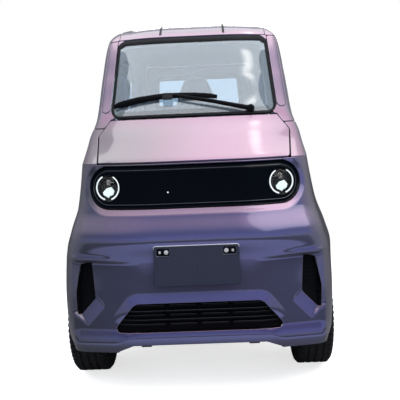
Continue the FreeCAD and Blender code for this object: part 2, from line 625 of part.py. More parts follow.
def turned(points):
    """Ring about the X axis from an outline of (x, radius, corner radius) points."""
    return Part.Face(outline(points, lambda x, z: V(x, 0, z))).revolve(V(0, 0, 0), V(1, 0, 0), 360)


def tyre():
    """Left tyre about the wheel's own centre, its axle along X."""
    w, seat_r = TYRE_W / 2, RIM_R - 2
    bead = RIM_W / 2 - FLANGE_T - SEAM
    half = [(bead, seat_r, 0), (bead, seat_r + FLANGE_H + 0.5, 0), (w, seat_r + 32, 18),
            (w, TYRE_R - 30, TREAD_R), (w - 22, TYRE_R, 14)]
    return turned(mirrored(half))


def rim():
    """Left wheel: barrel with flanges, five broad spokes and a hub with its bore."""
    w, r = RIM_W / 2, RIM_R - 2 - SEAM
    seat = w - FLANGE_T
    outer = [(-w, r + FLANGE_H, 0), (-seat, r + FLANGE_H, 0), (-seat, r, 0), (seat, r, 0),
             (seat, r + FLANGE_H, 0), (w, r + FLANGE_H, 0)]
    inner = [(w, r - 8, 0), (w - 12, r - 10, 0), (-w + 12, r - 10, 0), (-w, r - 8, 0)]
    hub = Part.makeCylinder(52, 36, V(HUB_FACE, 0, 0), V(1, 0, 0))
    disc = Part.makeCylinder(r - 9, 9, V(26, 0, 0), V(1, 0, 0))
    opening = [(-16, 66, 8), (16, 66, 8), (42, 124, 12), (-42, 124, 12)]
    windows = []
    for i in range(5):
        gap = Part.Face(outline(opening, lambda y, z: V(0, y, z))).extrude(V(60, 0, 0))
        gap.rotate(V(0, 0, 0), V(1, 0, 0), 72 * i)
        windows.append(gap)
    wheel = joined(turned(outer + inner), hub, disc.cut(windows))
    return wheel.cut(Part.makeCylinder(HUB_BORE_R, 80, V(0, 0, 0), V(1, 0, 0)))


def stub_axle(s):
    """Left stub that the hub's bore turns on."""
    return rod_x(HUB_BORE_R - SHAFT_GAP, WHEEL_X, WHEEL_X + STUB_L, s, TYRE_R)


def knuckle():
    """Left steering knuckle: upright between two ball joints, and the stub axle."""
    s, half_w, half_l = FRONT_AXLE_S, 16.0, 20.0
    upright = block(KINGPIN_X - half_w, KINGPIN_X + half_w, s - half_l, s + half_l,
                    TYRE_R - KNUCKLE_REACH, TYRE_R + KNUCKLE_REACH)
    flange = rod_x(44, KINGPIN_X + half_w, WHEEL_X + HUB_FACE - SEAM, s, TYRE_R)
    return joined(upright, flange, stub_axle(s))


def front_suspension():
    """Left arms, ball posts and spring-damper leg of the front axle."""
    inner = RAIL_X + RAIL_W / 2 + SEAM
    s0, s1 = FRONT_AXLE_S - 16, FRONT_AXLE_S + 11
    gap = KNUCKLE_REACH + SEAM
    arms = [block(inner, KINGPIN_X + 14, s0, s1, z, z + ARM_T)
            for z in (TYRE_R - gap - ARM_T, TYRE_R + gap)]
    link = block(inner, inner + 12, s0, s1, TYRE_R - gap - ARM_T, TYRE_R + gap + ARM_T)
    leg = rod_z(22, TYRE_R - gap - 2, REAR_TUB_Z - SEAM, SPRING_X, FRONT_AXLE_S)
    spring = rod_z(34, 400, REAR_TUB_Z - 18, SPRING_X, FRONT_AXLE_S)
    return joined(leg, spring, link, *arms)


def rear_axle():
    """Axle tube with the drive motor and final drive as one plain block, and the stub ends."""
    face = WHEEL_X + HUB_FACE - SEAM
    tube = rod_x(AXLE_TUBE_R, 30 - face, face - 30, REAR_AXLE_S, TYRE_R)
    drum = rod_x(60, face - 34, face, REAR_AXLE_S, TYRE_R)
    stub = stub_axle(REAR_AXLE_S)
    motor = rod_x(92, -150, 90, REAR_AXLE_S, TYRE_R)
    return joined(tube, motor, drum, stub, flipped(drum), flipped(stub))


def rear_spring():
    """Left leaf spring under the axle, with its shackles up to the rail."""
    x, w = SPRING_X, SPRING_HALF_W
    s0, s1 = REAR_AXLE_S - SPRING_HALF_L, REAR_AXLE_S + SPRING_HALF_L
    eye_z, low_z, leaf_t, arc_r = TYRE_R + 20, TYRE_R - 43, 12.0, 900.0
    points = [(s0, eye_z, 0), (REAR_AXLE_S, low_z, arc_r), (s1, eye_z, 0),
              (s1, eye_z + leaf_t, 0), (REAR_AXLE_S, low_z + leaf_t, arc_r), (s0, eye_z + leaf_t, 0)]
    leaf = along_x(points, x - w, x + w)
    ends = (s0, s1 - 20)
    shackles = [block(x - w, x + w, s, s + 20, eye_z, SPRING_EYE_Z) for s in ends]
    rail_x = RAIL_X + RAIL_W / 2 + SEAM
    hangers = [block(rail_x, x + w, s, s + 20, SPRING_EYE_Z - 32, SPRING_EYE_Z) for s in ends]
    seat = rod_x(AXLE_TUBE_R + SEAM, x - 90, x + 110, REAR_AXLE_S, TYRE_R)
    return joined(leaf, *shackles, *hangers).cut(seat)


# ---------------------------------------------------------------- inside
def dashboard():
    """Dash moulding across the car, with the steering column that comes out of it."""
    top, front = COWL_Z - SEAM, DASH_FRONT_S
    points = [(front + 55, 800, 40), (front + 120, 800, 50), (front + 148, 930, 60), (front + 100, top, 40),
              (front, top, 0), (front, 900, 0)]
    dash = along_x(points, -FAR, FAR).common(INSIDE)
    mid, way = steering_hub()
    column = rod(24, mid - way * 26, mid - way * 190)
    return largest(joined(dash, column))


def steering_hub():
    """Centre of the steering wheel and the unit direction of its axis, towards the driver."""
    tilt = math.radians(28)
    return V(0, at(DASH_FRONT_S + 250), COWL_Z - 31), V(0, math.cos(tilt), math.sin(tilt))


def steering_wheel():
    """Ring, boss and three flat spokes."""
    mid, way = steering_hub()
    spoke_w, spoke_t, set_back = 30.0, 12.0, 18.0
    ring = Part.makeTorus(WHEEL_RING_R, WHEEL_RING_T, mid, way)
    boss = Part.makeCylinder(50, 30, mid - way * 25, way)
    down = way.cross(V(1, 0, 0))
    spokes = []
    for out in (V(-1, 0, 0), V(1, 0, 0), down * -1):
        side = way.cross(out).normalize()
        base = mid - way * set_back - side * (spoke_w / 2)
        far = base + out * (WHEEL_RING_R - 3)
        corners = [base, base + side * spoke_w, far + side * spoke_w, far, base]
        spokes.append(Part.Face(Part.makePolygon(corners)).extrude(way * spoke_t))
    return joined(ring, boss, *spokes)


def driver_seat_frame():
    """Seat box on the floor, with two brackets up the sides of the backrest."""
    half_w, wall, floor_z = 170.0, 12.0, FLOOR_Z + FLOOR_T + SEAM
    s0, s1 = SEAT_FRONT_S + 80, SEAT_REAR_S + 88
    base = block(-half_w, half_w, s0, s1, floor_z, SEAT_BASE_Z)
    hollow = block(wall - half_w, half_w - wall, s0 - 1, s1 + 1, floor_z + 17, SEAT_BASE_Z - 15)
    inner, t = SEAT_HALF_W + SEAM, 8.0
    back_s = (SEAT_REAR_S + SEAM, SEAT_REAR_S + 85)
    foot_z = SEAT_BASE_Z - 55
    post = block(inner, inner + t, *back_s, foot_z, SEAT_BACK_Z + 188)
    foot = block(half_w - 10, inner + t, *back_s, foot_z, foot_z + 40)
    return joined(base.cut(hollow), post, foot, flipped(post), flipped(foot))


def driver_seat_back():
    """One-piece high backrest that narrows to its head restraint."""
    front = mirrored([(SEAT_HALF_W, SEAT_BACK_Z, 45), (SEAT_HALF_W, 850, 140), (118, SEAT_TOP_Z - 175, 120),
                      (66, SEAT_TOP_Z, 45)])
    s0 = SEAT_REAR_S + SEAM
    back = along_y(front, s0, s0 + SEAT_BACK_T)
    back.rotate(V(0, at(s0), SEAT_BACK_Z), V(1, 0, 0), -SEAT_TILT)
    return back


def driver_seat_cushion():
    low, high, half_w = SEAT_BASE_Z + 0.5, SEAT_BASE_Z + 105, SEAT_HALF_W + 10
    points = [(SEAT_FRONT_S, low, 25), (SEAT_REAR_S, low, 25), (SEAT_REAR_S, high - 15, 30),
              (SEAT_FRONT_S, high, 45)]
    return along_x(points, -half_w, half_w)


def bench_cushion():
    low, rear_s = REAR_FLOOR_Z + FLOOR_T + SEAM, BENCH_REAR_S - 7
    points = [(BENCH_FRONT_S, low, 25), (rear_s, low, 20), (rear_s, low + 115, 30),
              (BENCH_FRONT_S, low + 125, 45)]
    return along_x(points, -BENCH_HALF_W, BENCH_HALF_W)


def bench_back():
    low, s = REAR_FLOOR_Z + FLOOR_T + SEAM, BENCH_REAR_S
    points = [(s, low, 15), (s + 98, low, 15), (s + 158, BENCH_TOP_Z, 30), (s + 68, BENCH_TOP_Z, 35)]
    return along_x(points, -BENCH_HALF_W, BENCH_HALF_W)


def wiper():
    """Single arm and blade that lie on the screen, from a pivot at its lower left corner."""
    slope = 0.7

    def on_glass(x, z, lift):
        return V(x, at(skin_s(BODY, x, z) - lift * slope), z + lift * slope)
    pivot, elbow, head, foot_end = (247, 1112), (90, 1148), (-110, 1188), (-110, 1173)
    blade_line = ((-345, 1160), (-275, 1164), (-200, 1168), (105, 1186))
    seat = 1.9 - 1.4 * GLASS_INSET
    post = rod(8, on_glass(*pivot, seat), on_glass(*pivot, 10))
    arm = run(4.5, [on_glass(*pivot, 8), on_glass(*elbow, 14), on_glass(*head, 12)])
    blade = run(5, [on_glass(x, z, 6) for x, z in blade_line])
    foot = rod(4, on_glass(*head, 12), on_glass(*foot_end, 6))
    return joined(post, arm, blade, foot)


def run(radius, points):
    """Round bar through points, with a ball at each bend."""
    bars = [rod(radius, a, b) for a, b in zip(points, points[1:])]
    balls = [Part.makeSphere(radius, point) for point in points[1:-1]]
    return joined(*bars, *balls)


def main():
    save("front_bumper", front_bumper())
    save("front_panel", front_panel())
    lamp = headlamp()
    save("headlamps", lamp, flipped(lamp))
    side = grille(SIDE_GRILLE, (352, 520, 8, 12), ((380, 424), (428, 500)))
    lower = grille(LOWER_GRILLE, (282, 360, 4, 14), ((-400, -124), (-118, -3), (3, 118), (124, 400)))
    save("grilles", lower, side, flipped(side))
    save("number_plate", number_plate())
    save("bonnet", bonnet())
    save("wing_left", wing())
    save("wing_right", flipped(wing()))
    frame = side_frame()
    save("side_frame_left", frame)
    save("side_frame_right", flipped(frame))
    save("roof_panel", roof_panel())
    save("windscreen", window(WINDSCREEN, along_y, AHEAD_S, SCREEN_BACK_S))
    quarter = window(QUARTER_WINDOW, along_x, INNER_X, FAR)
    save("quarter_glass", quarter, flipped(quarter))
    leaf = door()
    save("door_left", leaf)
    save("door_right", flipped(leaf))
    pane = window(DOOR_WINDOW, along_x, INNER_X, FAR)
    save("door_glass_left", pane)
    save("door_glass_right", flipped(pane))
    save("tailgate", tailgate())
    save("rear_glass", window(REAR_WINDOW, along_y, REAR_HALF_S, PAST_TAIL_S))
    save("rear_bumper", rear_bumper())
    lens = tail_lamp()
    save("tail_lamps", lens, flipped(lens))
    save("floor_pan", floor_pan())
    save("cowl_panel", cowl_panel())
    save("chassis_frame", chassis_frame())
    save("battery_pack", battery_pack())
    wheels = (("front_left", 1, FRONT_AXLE_S), ("front_right", -1, FRONT_AXLE_S),
              ("rear_left", 1, REAR_AXLE_S), ("rear_right", -1, REAR_AXLE_S))
    for name, side, s in wheels:
        for piece, make in (("tyre_", tyre), ("rim_", rim)):
            shape = make() if side > 0 else flipped(make())
            shape.translate(V(side * WHEEL_X, at(s), TYRE_R))
            save(piece + name, shape)
    save("knuckle_left", knuckle())
    save("knuckle_right", flipped(knuckle()))
    save("rear_axle", rear_axle())
    arms, spring = front_suspension(), rear_spring()
    save("suspension", arms, flipped(arms), spring, flipped(spring))
    save("dashboard", dashboard())
    save("steering_wheel", steering_wheel())
    save("driver_seat_frame", driver_seat_frame())
    save("driver_seat_cushion", driver_seat_cushion())
    save("driver_seat_back", driver_seat_back())
    save("bench_cushion", bench_cushion())
    save("bench_back", bench_back())
    save("wiper", wiper())


main()
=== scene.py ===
"""Finish of the low-speed electric city car: paint, glass, lamps, trim, tyres and seats."""
import math
import bmesh
import bpy
import numpy as np
from mathutils import Matrix, Vector
from mathutils.bvhtree import BVHTree
from mathutils.geometry import tessellate_polygon


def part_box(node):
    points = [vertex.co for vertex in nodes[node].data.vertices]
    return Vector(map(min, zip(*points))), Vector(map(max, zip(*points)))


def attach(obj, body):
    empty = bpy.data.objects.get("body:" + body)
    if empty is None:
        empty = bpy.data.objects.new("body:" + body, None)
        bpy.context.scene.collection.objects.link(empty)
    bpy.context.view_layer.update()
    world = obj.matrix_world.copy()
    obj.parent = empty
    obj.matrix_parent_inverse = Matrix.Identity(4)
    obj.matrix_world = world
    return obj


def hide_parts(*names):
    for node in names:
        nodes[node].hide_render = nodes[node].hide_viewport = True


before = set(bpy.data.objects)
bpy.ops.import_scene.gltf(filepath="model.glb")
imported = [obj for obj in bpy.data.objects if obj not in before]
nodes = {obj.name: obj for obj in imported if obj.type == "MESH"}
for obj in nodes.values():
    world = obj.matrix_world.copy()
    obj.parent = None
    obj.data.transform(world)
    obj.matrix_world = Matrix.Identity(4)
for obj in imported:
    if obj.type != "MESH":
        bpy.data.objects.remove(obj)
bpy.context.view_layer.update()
MM = 0.001

# ---------------------------------------------------------------- sizes, in millimetres
# Stations s run back from the nose of the bumper; x is to the car's left; z is height.
PLATE_T = 3.0
NOSE_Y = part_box("number_plate")[0].y / MM + PLATE_T
TYRE_R, RIM_R = 245.0, 150.0
FRONT_AXLE_S, REAR_AXLE_S = 405.0, 1950.0
FRONT_ARCH_R, REAR_ARCH_R = 292.0, 275.0
BONNET_FRONT_Z, BONNET_REAR_Z = 915.0, 1083.0
WING_TOP_Z, WING_REAR_S = 1050.0, 748.0
ROOF_SPLIT_Z, ROOF_SPLIT_X = 1469.0, 352.0
DOOR_FRONT_S, DOOR_REAR_S, DOOR_SILL_Z, DOOR_TOP_Z = 755.0, 1612.0, 222.0, 1436.0
TAILGATE_SILL_Z, TAIL_TOP_Z, REAR_BUMPER_S = 668.0, 1462.0, 2110.0
LAMP_X, LAMP_Z, LAMP_R = 337.0, 821.0, 51.0
PILL_HALF_W, PILL_Z, PILL_HALF_H = 412.0, 821.0, 81.0
PLATE_W, PLATE_H, PLATE_Z, PLATE_HOLE_PITCH, PLATE_HOLE_Z = 320.0, 155.0, 530.0, 224.0, 583.0
PLATE_SLOT = (124.0, 47.0, 27.0)  # place, width and height of a slot in the plate
LAMP_DEPTH, LAMP_DOME_R, LAMP_PROUD = 58.0, 95.0, 1.0
DOME_FLATNESS, DOME_WALL = 0.55, 2.2
LIGHT_RING_R, LIGHT_RING_HALF_W = 46.2, 2.7
GRILLE_SUNK = 30.0
WIPER = [(247, 1112), (90, 1148), (-110, 1188)]  # (x, z) of the hub, a bend and the blade's clip
BLADE = [(-350, 1145), (-240, 1167), (-120, 1181), (0, 1180), (106, 1171)]
RIM_W, RIM_DEPTH = 22.0, 9.0     # bevel in the paint round the lamp panel
BROW_Z, RECESS = 549.0, 11.0     # lower face of the bumper, set back below the brow
BROW_LIP = 6.0
HANDLE_S, HANDLE_Z = 1500.0, 908.0
CHIN_TOP_Z, CHIN_PROUD = 277.0, 9.0
HOOD_W, HOOD_PROUD = 38.0, 9.0   # bevel above the lower grille
BASE_Z = 190.0                   # lower edge of the body
FRONT_END_S, REAR_END_S = 1150.0, 1700.0  # ahead of the first is the front end, behind the second the rear
SHUT = 4.5                       # gap between a moving panel and the frame round it
FIXED = 0.8                      # half of a fixed joint's gap
ROLL = 2.0                       # radius of a panel's folded edge

# Plan outlines of the body, bottom to top, one row per height:
# z, nose, front corner (x, s, radius), flank (x, s), side (x, s), rear corner (x, s, radius), tail
SECTIONS = [
    (190, 52, 498, 92, 80, 548, 400, 548, 1150, 505, 2272, 110, 2317),
    (260, 26, 512, 70, 90, 567, 400, 563, 1150, 518, 2284, 120, 2332),
    (400, 24, 516, 78, 100, 575, 400, 574, 1150, 527, 2294, 130, 2343),
    (545, 19, 508, 92, 115, 570, 400, 574, 1150, 527, 2298, 130, 2347),
    (622, 0, 488, 90, 130, 548, 400, 566, 1150, 522, 2294, 130, 2344),
    (735, 48, 462, 146, 130, 507, 400, 552, 1150, 508, 2278, 130, 2329),
    (910, 84, 446, 196, 115, 479, 430, 535, 1150, 490, 2252, 120, 2305),
    (1000, 248, 450, 400, 90, 474, 600, 520, 1150, 475, 2236, 110, 2289),
    (1090, 405, 432, 518, 75, 455, 720, 503, 1150, 460, 2216, 100, 2271),
    (1280, 582, 424, 690, 72, 447, 880, 478, 1200, 435, 2150, 100, 2207),
    (1470, 765, 407, 858, 70, 428, 1030, 448, 1250, 400, 2062, 100, 2115),
    (1517, 848, 370, 925, 80, 394, 1100, 412, 1300, 362, 2010, 100, 2057),
    (1546, 960, 288, 1012, 80, 322, 1160, 338, 1350, 290, 1905, 90, 1957),
    (1560, 1090, 170, 1120, 50, 195, 1220, 200, 1400, 160, 1780, 50, 1807),
]
SHELF_ROW = 6                    # the nose edge of the bonnet, a crease
NOSE_FLAT, NOSE_BEND_R, FLANK_BEND_R = 0.55, 520.0, 700.0
SIDES = (("left", 1), ("right", -1))
FAR = 9000.0
LEAST_TURN = 0.022               # a corner that turns less, in radians, isn't rounded


def mirrored(half):
    """A whole outline from its left half, whose points run from bottom to top."""
    return half + [(-x, y, r) for x, y, r in reversed(half)]


# Panel outlines with the radius of each corner: (x, z) from the front or back, (s, z) from the side
WINDSCREEN = mirrored([(368, 1090, 45), (355, 1464, 40)])
DOOR = [(DOOR_FRONT_S, DOOR_SILL_Z, 30), (DOOR_REAR_S, DOOR_SILL_Z, 60),
        (DOOR_REAR_S, DOOR_TOP_Z, 70), (992, DOOR_TOP_Z, 60), (DOOR_FRONT_S, 1120, 60)]
DOOR_WINDOW = [(830, 985, 35), (1542, 985, 45), (1542, 1388, 55), (1032, 1388, 45), (830, 1135, 45)]
QUARTER_WINDOW = [(1687, 1010, 40), (2035, 1030, 50), (1930, 1384, 60), (1687, 1388, 55)]
TAILGATE = mirrored([(428, TAILGATE_SILL_Z, 55), (424, 1000, 500), (352, TAIL_TOP_Z, 45)])
REAR_WINDOW = mirrored([(325, 1150, 50), (302, 1405, 50)])
BONNET_PLAN = mirrored([(372, -60, 0), (372, 130, 60), (405, 400, 25), (330, 520, 0)])
BUMPER_SIDE = [(-60, 150, 0), (150, 150, 0), (158, 420, 90), (238, 760, 40), (215, 910, 0), (-60, 910, 0)]
PILL = mirrored([(PILL_HALF_W, PILL_Z - PILL_HALF_H, 80), (PILL_HALF_W, PILL_Z + PILL_HALF_H, 80)])
LOWER_GRILLE = mirrored([(334, 270, 14), (243, 384, 42)])
SIDE_GRILLE = [(398, 418, 20), (402, 396, 10), (458, 336, 6), (472, 336, 6), (474, 420, 60),
               (454, 532, 12), (406, 542, 6)]
CHIN_NOTCH = mirrored([(322, 150, 0), (318, 188, 20), (255, 216, 20)])
TAIL_LAMP = [(444, 748, 6), (484, 748, 6), (472, 925, 6), (440, 925, 6)]
PILLAR_COVER = [(371, 1116, 19), (414, 1122, 19), (399, 1466, 3), (358, 1466, 3)]


# ---------------------------------------------------------------- outlines and distances
def bend(before, tip, after, radius):
    """Rounding of the corner at tip, no larger than its sides allow: start, end, centre and turn."""
    tip = np.array(tip, float)
    a, b = np.array(before, float) - tip, np.array(after, float) - tip
    room = 0.49 * min(np.linalg.norm(a), np.linalg.norm(b))
    a, b = a / np.linalg.norm(a), b / np.linalg.norm(b)
    half = math.acos(max(-1, min(1, a @ b))) / 2
    reach = min(radius / math.tan(half), room)
    middle = (a + b) / max(np.linalg.norm(a + b), 1e-9)
    centre = tip + middle * reach * math.tan(half) / math.sin(half)
    return tip + a * reach, tip + b * reach, centre, math.pi - 2 * half


def arc(start, end, centre, turn, shares):
    """Points at the shares of an arc, 0 at its start and 1 at its end."""
    t = np.reshape(shares, (-1, 1)) * turn
    return centre + ((start - centre) * np.sin(turn - t) + (end - centre) * np.sin(t)) / math.sin(turn)


def rounded(points, steps=10):
    """Closed polygon of an outline of (u, v, radius) corners."""
    line = []
    for i, (x, y, radius) in enumerate(points):
        start, end, centre, turn = bend(points[i - 1][:2], (x, y), points[(i + 1) % len(points)][:2], radius)
        if radius <= 0 or turn < LEAST_TURN:
            line.append((x, y))
        else:
            line.extend(arc(start, end, centre, turn, np.linspace(0, 1, steps + 1)))
    return np.array(line, float)


def depth_in(points, u, v):
    """Distance of each (u, v) inside the outline; negative outside."""
    line = rounded(points)
    ends = np.roll(line, -1, axis=0)
    shape = np.shape(u)
    u, v = np.ravel(u), np.ravel(v)
    near = np.full(u.shape, 1e9)
    crossed = np.zeros(u.shape, bool)
    for (x0, y0), (x1, y1) in zip(line, ends):
        dx, dy = x1 - x0, y1 - y0
        length = dx * dx + dy * dy
        if length < 1e-9:
            continue
        t = np.clip(((u - x0) * dx + (v - y0) * dy) / length, 0, 1)
        near = np.minimum(near, np.hypot(u - x0 - t * dx, v - y0 - t * dy))
        if y0 != y1:
            crossed ^= ((y0 > v) != (y1 > v)) & (u < (v - y0) * dx / dy + x0)
    return np.where(crossed, near, -near).reshape(shape)


# ---------------------------------------------------------------- body surface
def eased(knots, values, at, creases):
    """Smooth monotone curve through values at knots; its slope may jump at the crease rows."""
    result = np.zeros(len(at))
    edges = [0] + list(creases) + [len(knots) - 1]
    for first, last in zip(edges, edges[1:]):
        x, y = knots[first:last + 1], values[first:last + 1]
        h, d = np.diff(x), np.diff(y) / np.diff(x)
        m = np.zeros(len(x))
        for i in range(1, len(x) - 1):
            if d[i - 1] * d[i] > 0:
                w1, w2 = 2 * h[i] + h[i - 1], h[i] + 2 * h[i - 1]
                m[i] = (w1 + w2) / (w1 / d[i - 1] + w2 / d[i])
        m[0], m[-1] = d[0], d[-1]
        if len(d) > 1:
            m[0] = d[0] + (d[0] - m[1]) / 2 if d[0] * (3 * d[0] - m[1]) > 0 else 0
            m[-1] = d[-1] + (d[-1] - m[-2]) / 2 if d[-1] * (3 * d[-1] - m[-2]) > 0 else 0
        here = (at >= x[0] - 1e-9) & (at <= x[-1] + 1e-9)
        q = at[here]
        i = np.clip(np.searchsorted(x, q, side="right") - 1, 0, len(h) - 1)
        t = (q - x[i]) / h[i]
        result[here] = ((2 * t ** 3 - 3 * t ** 2 + 1) * y[i] + (t ** 3 - 2 * t ** 2 + t) * h[i] * m[i]
                        + (3 * t ** 2 - 2 * t ** 3) * y[i + 1] + (t ** 3 - t ** 2) * h[i] * m[i + 1])
    return result


def half_outline(row, counts):
    """Right half of one plan outline as points (x, s), with counts[k] steps on its k-th line or arc."""
    z, nose, fx, fs, fr, kx, ks, sx, ss, rx, rs, rr, tail = row
    corners = [(fx * NOSE_FLAT, nose, NOSE_BEND_R), (fx, fs, fr), (kx, ks, FLANK_BEND_R),
               (sx, ss, FLANK_BEND_R), (rx, rs, rr), (rx * NOSE_FLAT, tail, NOSE_BEND_R)]
    ring = [(-corners[0][0], nose)] + [c[:2] for c in corners] + [(-corners[-1][0], tail)]
    bends = [bend(ring[i], corner[:2], ring[i + 2], corner[2]) for i, corner in enumerate(corners)]
    starts = [np.array((0.0, nose))] + [end for start, end, centre, turn in bends]
    ends = [start for start, end, centre, turn in bends] + [np.array((0.0, tail))]
    if counts is None:
        lengths = [np.linalg.norm(end - start) for start, end in zip(starts, ends)]
        turned = [np.linalg.norm(start - centre) * turn for start, end, centre, turn in bends]
        return [length for pair in zip(lengths, turned) for length in pair] + lengths[-1:]
    points = []
    for k, count in enumerate(counts):
        t = np.arange(count)[:, None] / count
        straight = k % 2 == 0
        points.append(starts[k // 2] * (1 - t) + ends[k // 2] * t if straight else arc(*bends[k // 2], t))
    return np.concatenate(points + [ends[-1][None, :]])


def unit(vectors):
    """The vectors made one long."""
    return vectors / np.maximum(np.linalg.norm(vectors, axis=-1, keepdims=True), 1e-9)


def facing(p):
    """Outward unit normals of a closed grid of points (rows, columns, xyz)."""
    across = np.roll(p, -1, axis=1) - np.roll(p, 1, axis=1)
    n = unit(np.cross(np.gradient(p, axis=0), across))
    outward = p - p.mean(axis=(0, 1))
    return n if (n * outward).sum() > 0 else -n


def body_grid(front, side, up, z0=BASE_Z, z1=1561.0):
    """Points (rows, columns, x s z) of the body surface, with steps of about front, side and up."""
    table = np.array(SECTIONS, float)
    steps = np.abs(np.diff(table, axis=0))
    knots = np.concatenate([[0], np.cumsum(np.hypot(steps[:, 0], (steps[:, 1] + steps[:, 2]) * 0.6))])
    levels = []
    for i in range(len(table) - 1):
        count = max(1, round((knots[i + 1] - knots[i]) / up))
        levels += [knots[i] + (knots[i + 1] - knots[i]) * k / count for k in range(count)]
    levels = np.array(levels + [knots[-1]])
    rows = np.stack([eased(knots, table[:, c], levels, (SHELF_ROW,)) for c in range(13)], axis=1)
    rows = rows[(rows[:, 0] >= z0 - up) & (rows[:, 0] <= z1 + up)]
    sizes = np.array([half_outline(row, None) for row in rows])
    wide = np.percentile(sizes, 85, axis=0)
    pace = [front] * 5 + [side] * 4 + [side * 0.8] * 4
    counts = [max(2, round(w / p)) for w, p in zip(wide, pace)]
    halves = [half_outline(row, counts) for row in rows]
    grid = []
    for row, half in zip(rows, halves):
        left = half[::-1][1:-1] * (-1, 1)
        ring = np.concatenate([half, left])
        grid.append(np.column_stack([ring, np.full(len(ring), row[0])]))
    if z1 >= 1560:
        rim = np.array(grid[-1])
        spine = np.column_stack([np.zeros(len(rim)), np.clip(rim[:, 1], 1240, 1680), rim[:, 2]])
        for i in range(-4, 0):
            grid[i][:, 2] -= (0.5, 1.2, 2.2, 3.2)[i + 4]
        count = max(3, round(170 / up))
        for k in range(1, count + 1):
            t = k / count
            inner = rim * (1 - t) + spine * t
            inner[:, 2] = 1556.8 + 3.2 * math.sin(t * math.pi / 2)
            grid.append(inner)
    return np.array(grid)


def ease(t):
    """Soft step from 0 to 1."""
    t = np.clip(t, 0, 1)
    return t * t * (3 - 2 * t)


def nose_relief(x, s, z):
    """How far the nose stands proud of the plain body surface."""
    a = np.abs(x)
    # bevel round the lamp panel, with a groove at its edge
    inside = depth_in(PILL, x, z)
    rim = -RIM_DEPTH * np.clip(1 + inside / RIM_W, 0, 1)
    rim = rim - 2.5 * ease((13 - np.abs(inside - 4)) / 4) * (inside > 0)
    # lower face set back below the brow, and the chin bar that ends it
    below_brow = ease((BROW_Z - z) / 12) * ease((a - 205) / 140) * (1 - ease((a - 466) / 20))
    bevel_z = 252 - 24 * ease((a - 262) / 66)
    bar = np.clip((CHIN_TOP_Z - z) / (CHIN_TOP_Z - bevel_z), 0, 1)
    bar_ends = 1 - ease((a - 480) / 30)
    hood = HOOD_PROUD * np.clip(1 + depth_in(LOWER_GRILLE, x, z) / HOOD_W, 0, 1) * ease((z - 300) / 60)
    # slanted hollow that leads into each side grille
    along, across = (a - 402) * 0.683 - (z - 396) * 0.731, -(a - 402) * 0.731 - (z - 396) * 0.683
    duct = np.clip(1 - np.maximum(across, 0) / 46, 0, 1) * (across > -30) * (a < 490)
    duct = duct * ease((along + 14) / 8) * (1 - ease((along - 90) / 8))
    low = -RECESS * below_brow * (1 - bar) + CHIN_PROUD * bar * bar_ends + hood - 13 * duct
    lip = BROW_LIP * np.exp(-((z - BROW_Z - 9) / 9) ** 2) * ease((a - 290) / 110) * (1 - ease((a - 470) / 25))
    return (rim + np.where(z < 600, low, 0) + lip) * ease((330 - s) / 110)


def relieved(grid):
    """The grid with the relief of the nose."""
    n = facing(grid)
    return grid + n * nose_relief(grid[..., 0], grid[..., 1], grid[..., 2])[..., None]


def skin_s(grid, x, z):
    """Station of the front of the body at x and z."""
    k = int(np.clip(np.searchsorted(grid[:, 0, 2], z), 1, len(grid) - 1))
    share = (z - grid[k - 1, 0, 2]) / (grid[k, 0, 2] - grid[k - 1, 0, 2])
    row = grid[k - 1] * (1 - share) + grid[k] * share
    half = row[:len(row) // 5]
    return float(np.interp(abs(x), np.abs(half[:, 0]), half[:, 1]))


def grid_quads(rows, columns):
    """Corner numbers of the quads of a grid whose rows are closed."""
    index = np.arange(rows * columns).reshape(rows, columns)
    right = np.roll(index, -1, axis=1)
    return np.stack([index[:-1], right[:-1], right[1:], index[1:]], axis=2).reshape(-1, 4)


class Surface:
    """The body grid as a surface that can be met along a line of sight."""

    # Each side: the axis looked along, where the look starts on it, and its sense
    VIEWS = {"front": (1, -900, 1), "back": (1, 3500, -1), "left": (0, 1500, -1), "right": (0, -1500, 1),
             "top": (2, 2500, -1)}

    def __init__(self, grid):
        quads = grid_quads(*grid.shape[:2])
        self.tree = BVHTree.FromPolygons(grid.reshape(-1, 3).tolist(), quads.tolist())

    def at(self, view, u, v, height=0.0):
        """Point over (u, v) as seen from a side, height millimetres outside the surface."""
        axis, origin, sense = self.VIEWS[view]
        start, ahead = [u, v], [0, 0]
        start.insert(axis, origin)
        ahead.insert(axis, sense)
        spot, normal = self.tree.ray_cast(Vector(start), Vector(ahead))[:2]
        if spot is None:
            return None
        if normal.dot(Vector(ahead)) > 0:
            normal = -normal
        return tuple(spot + normal * height)


# ---------------------------------------------------------------- meshes
def place(points):
    """Millimetres in x, station, z to metres in the car's frame."""
    p = np.array(points, float)
    return np.column_stack([p[:, 0], p[:, 1] + NOSE_Y, p[:, 2]]) * MM


def in_scene(name, data):
    """A new object with its data, linked into the scene."""
    made = bpy.data.objects.new(name, data)
    bpy.context.scene.collection.objects.link(made)
    return made


def smooth_mesh(name, points, faces, materials, kinds):
    """A smooth-shaded mesh; kinds gives the material of each face."""
    mesh = bpy.data.meshes.new(name)
    mesh.from_pydata([tuple(p) for p in points], [], [tuple(int(i) for i in face) for face in faces])
    for material in materials:
        mesh.materials.append(material)
    mesh.polygons.foreach_set("material_index", np.array(kinds, np.int32))
    mesh.polygons.foreach_set("use_smooth", np.ones(len(mesh.polygons), bool))
    return mesh


def turn_outwards(mesh):
    """Closes a mesh where its points meet and turns its faces outwards."""
    work = bmesh.new()
    work.from_mesh(mesh)
    bmesh.ops.remove_doubles(work, verts=work.verts, dist=1e-6)
    bmesh.ops.recalc_face_normals(work, faces=work.faces)
    work.to_mesh(mesh)
    work.free()


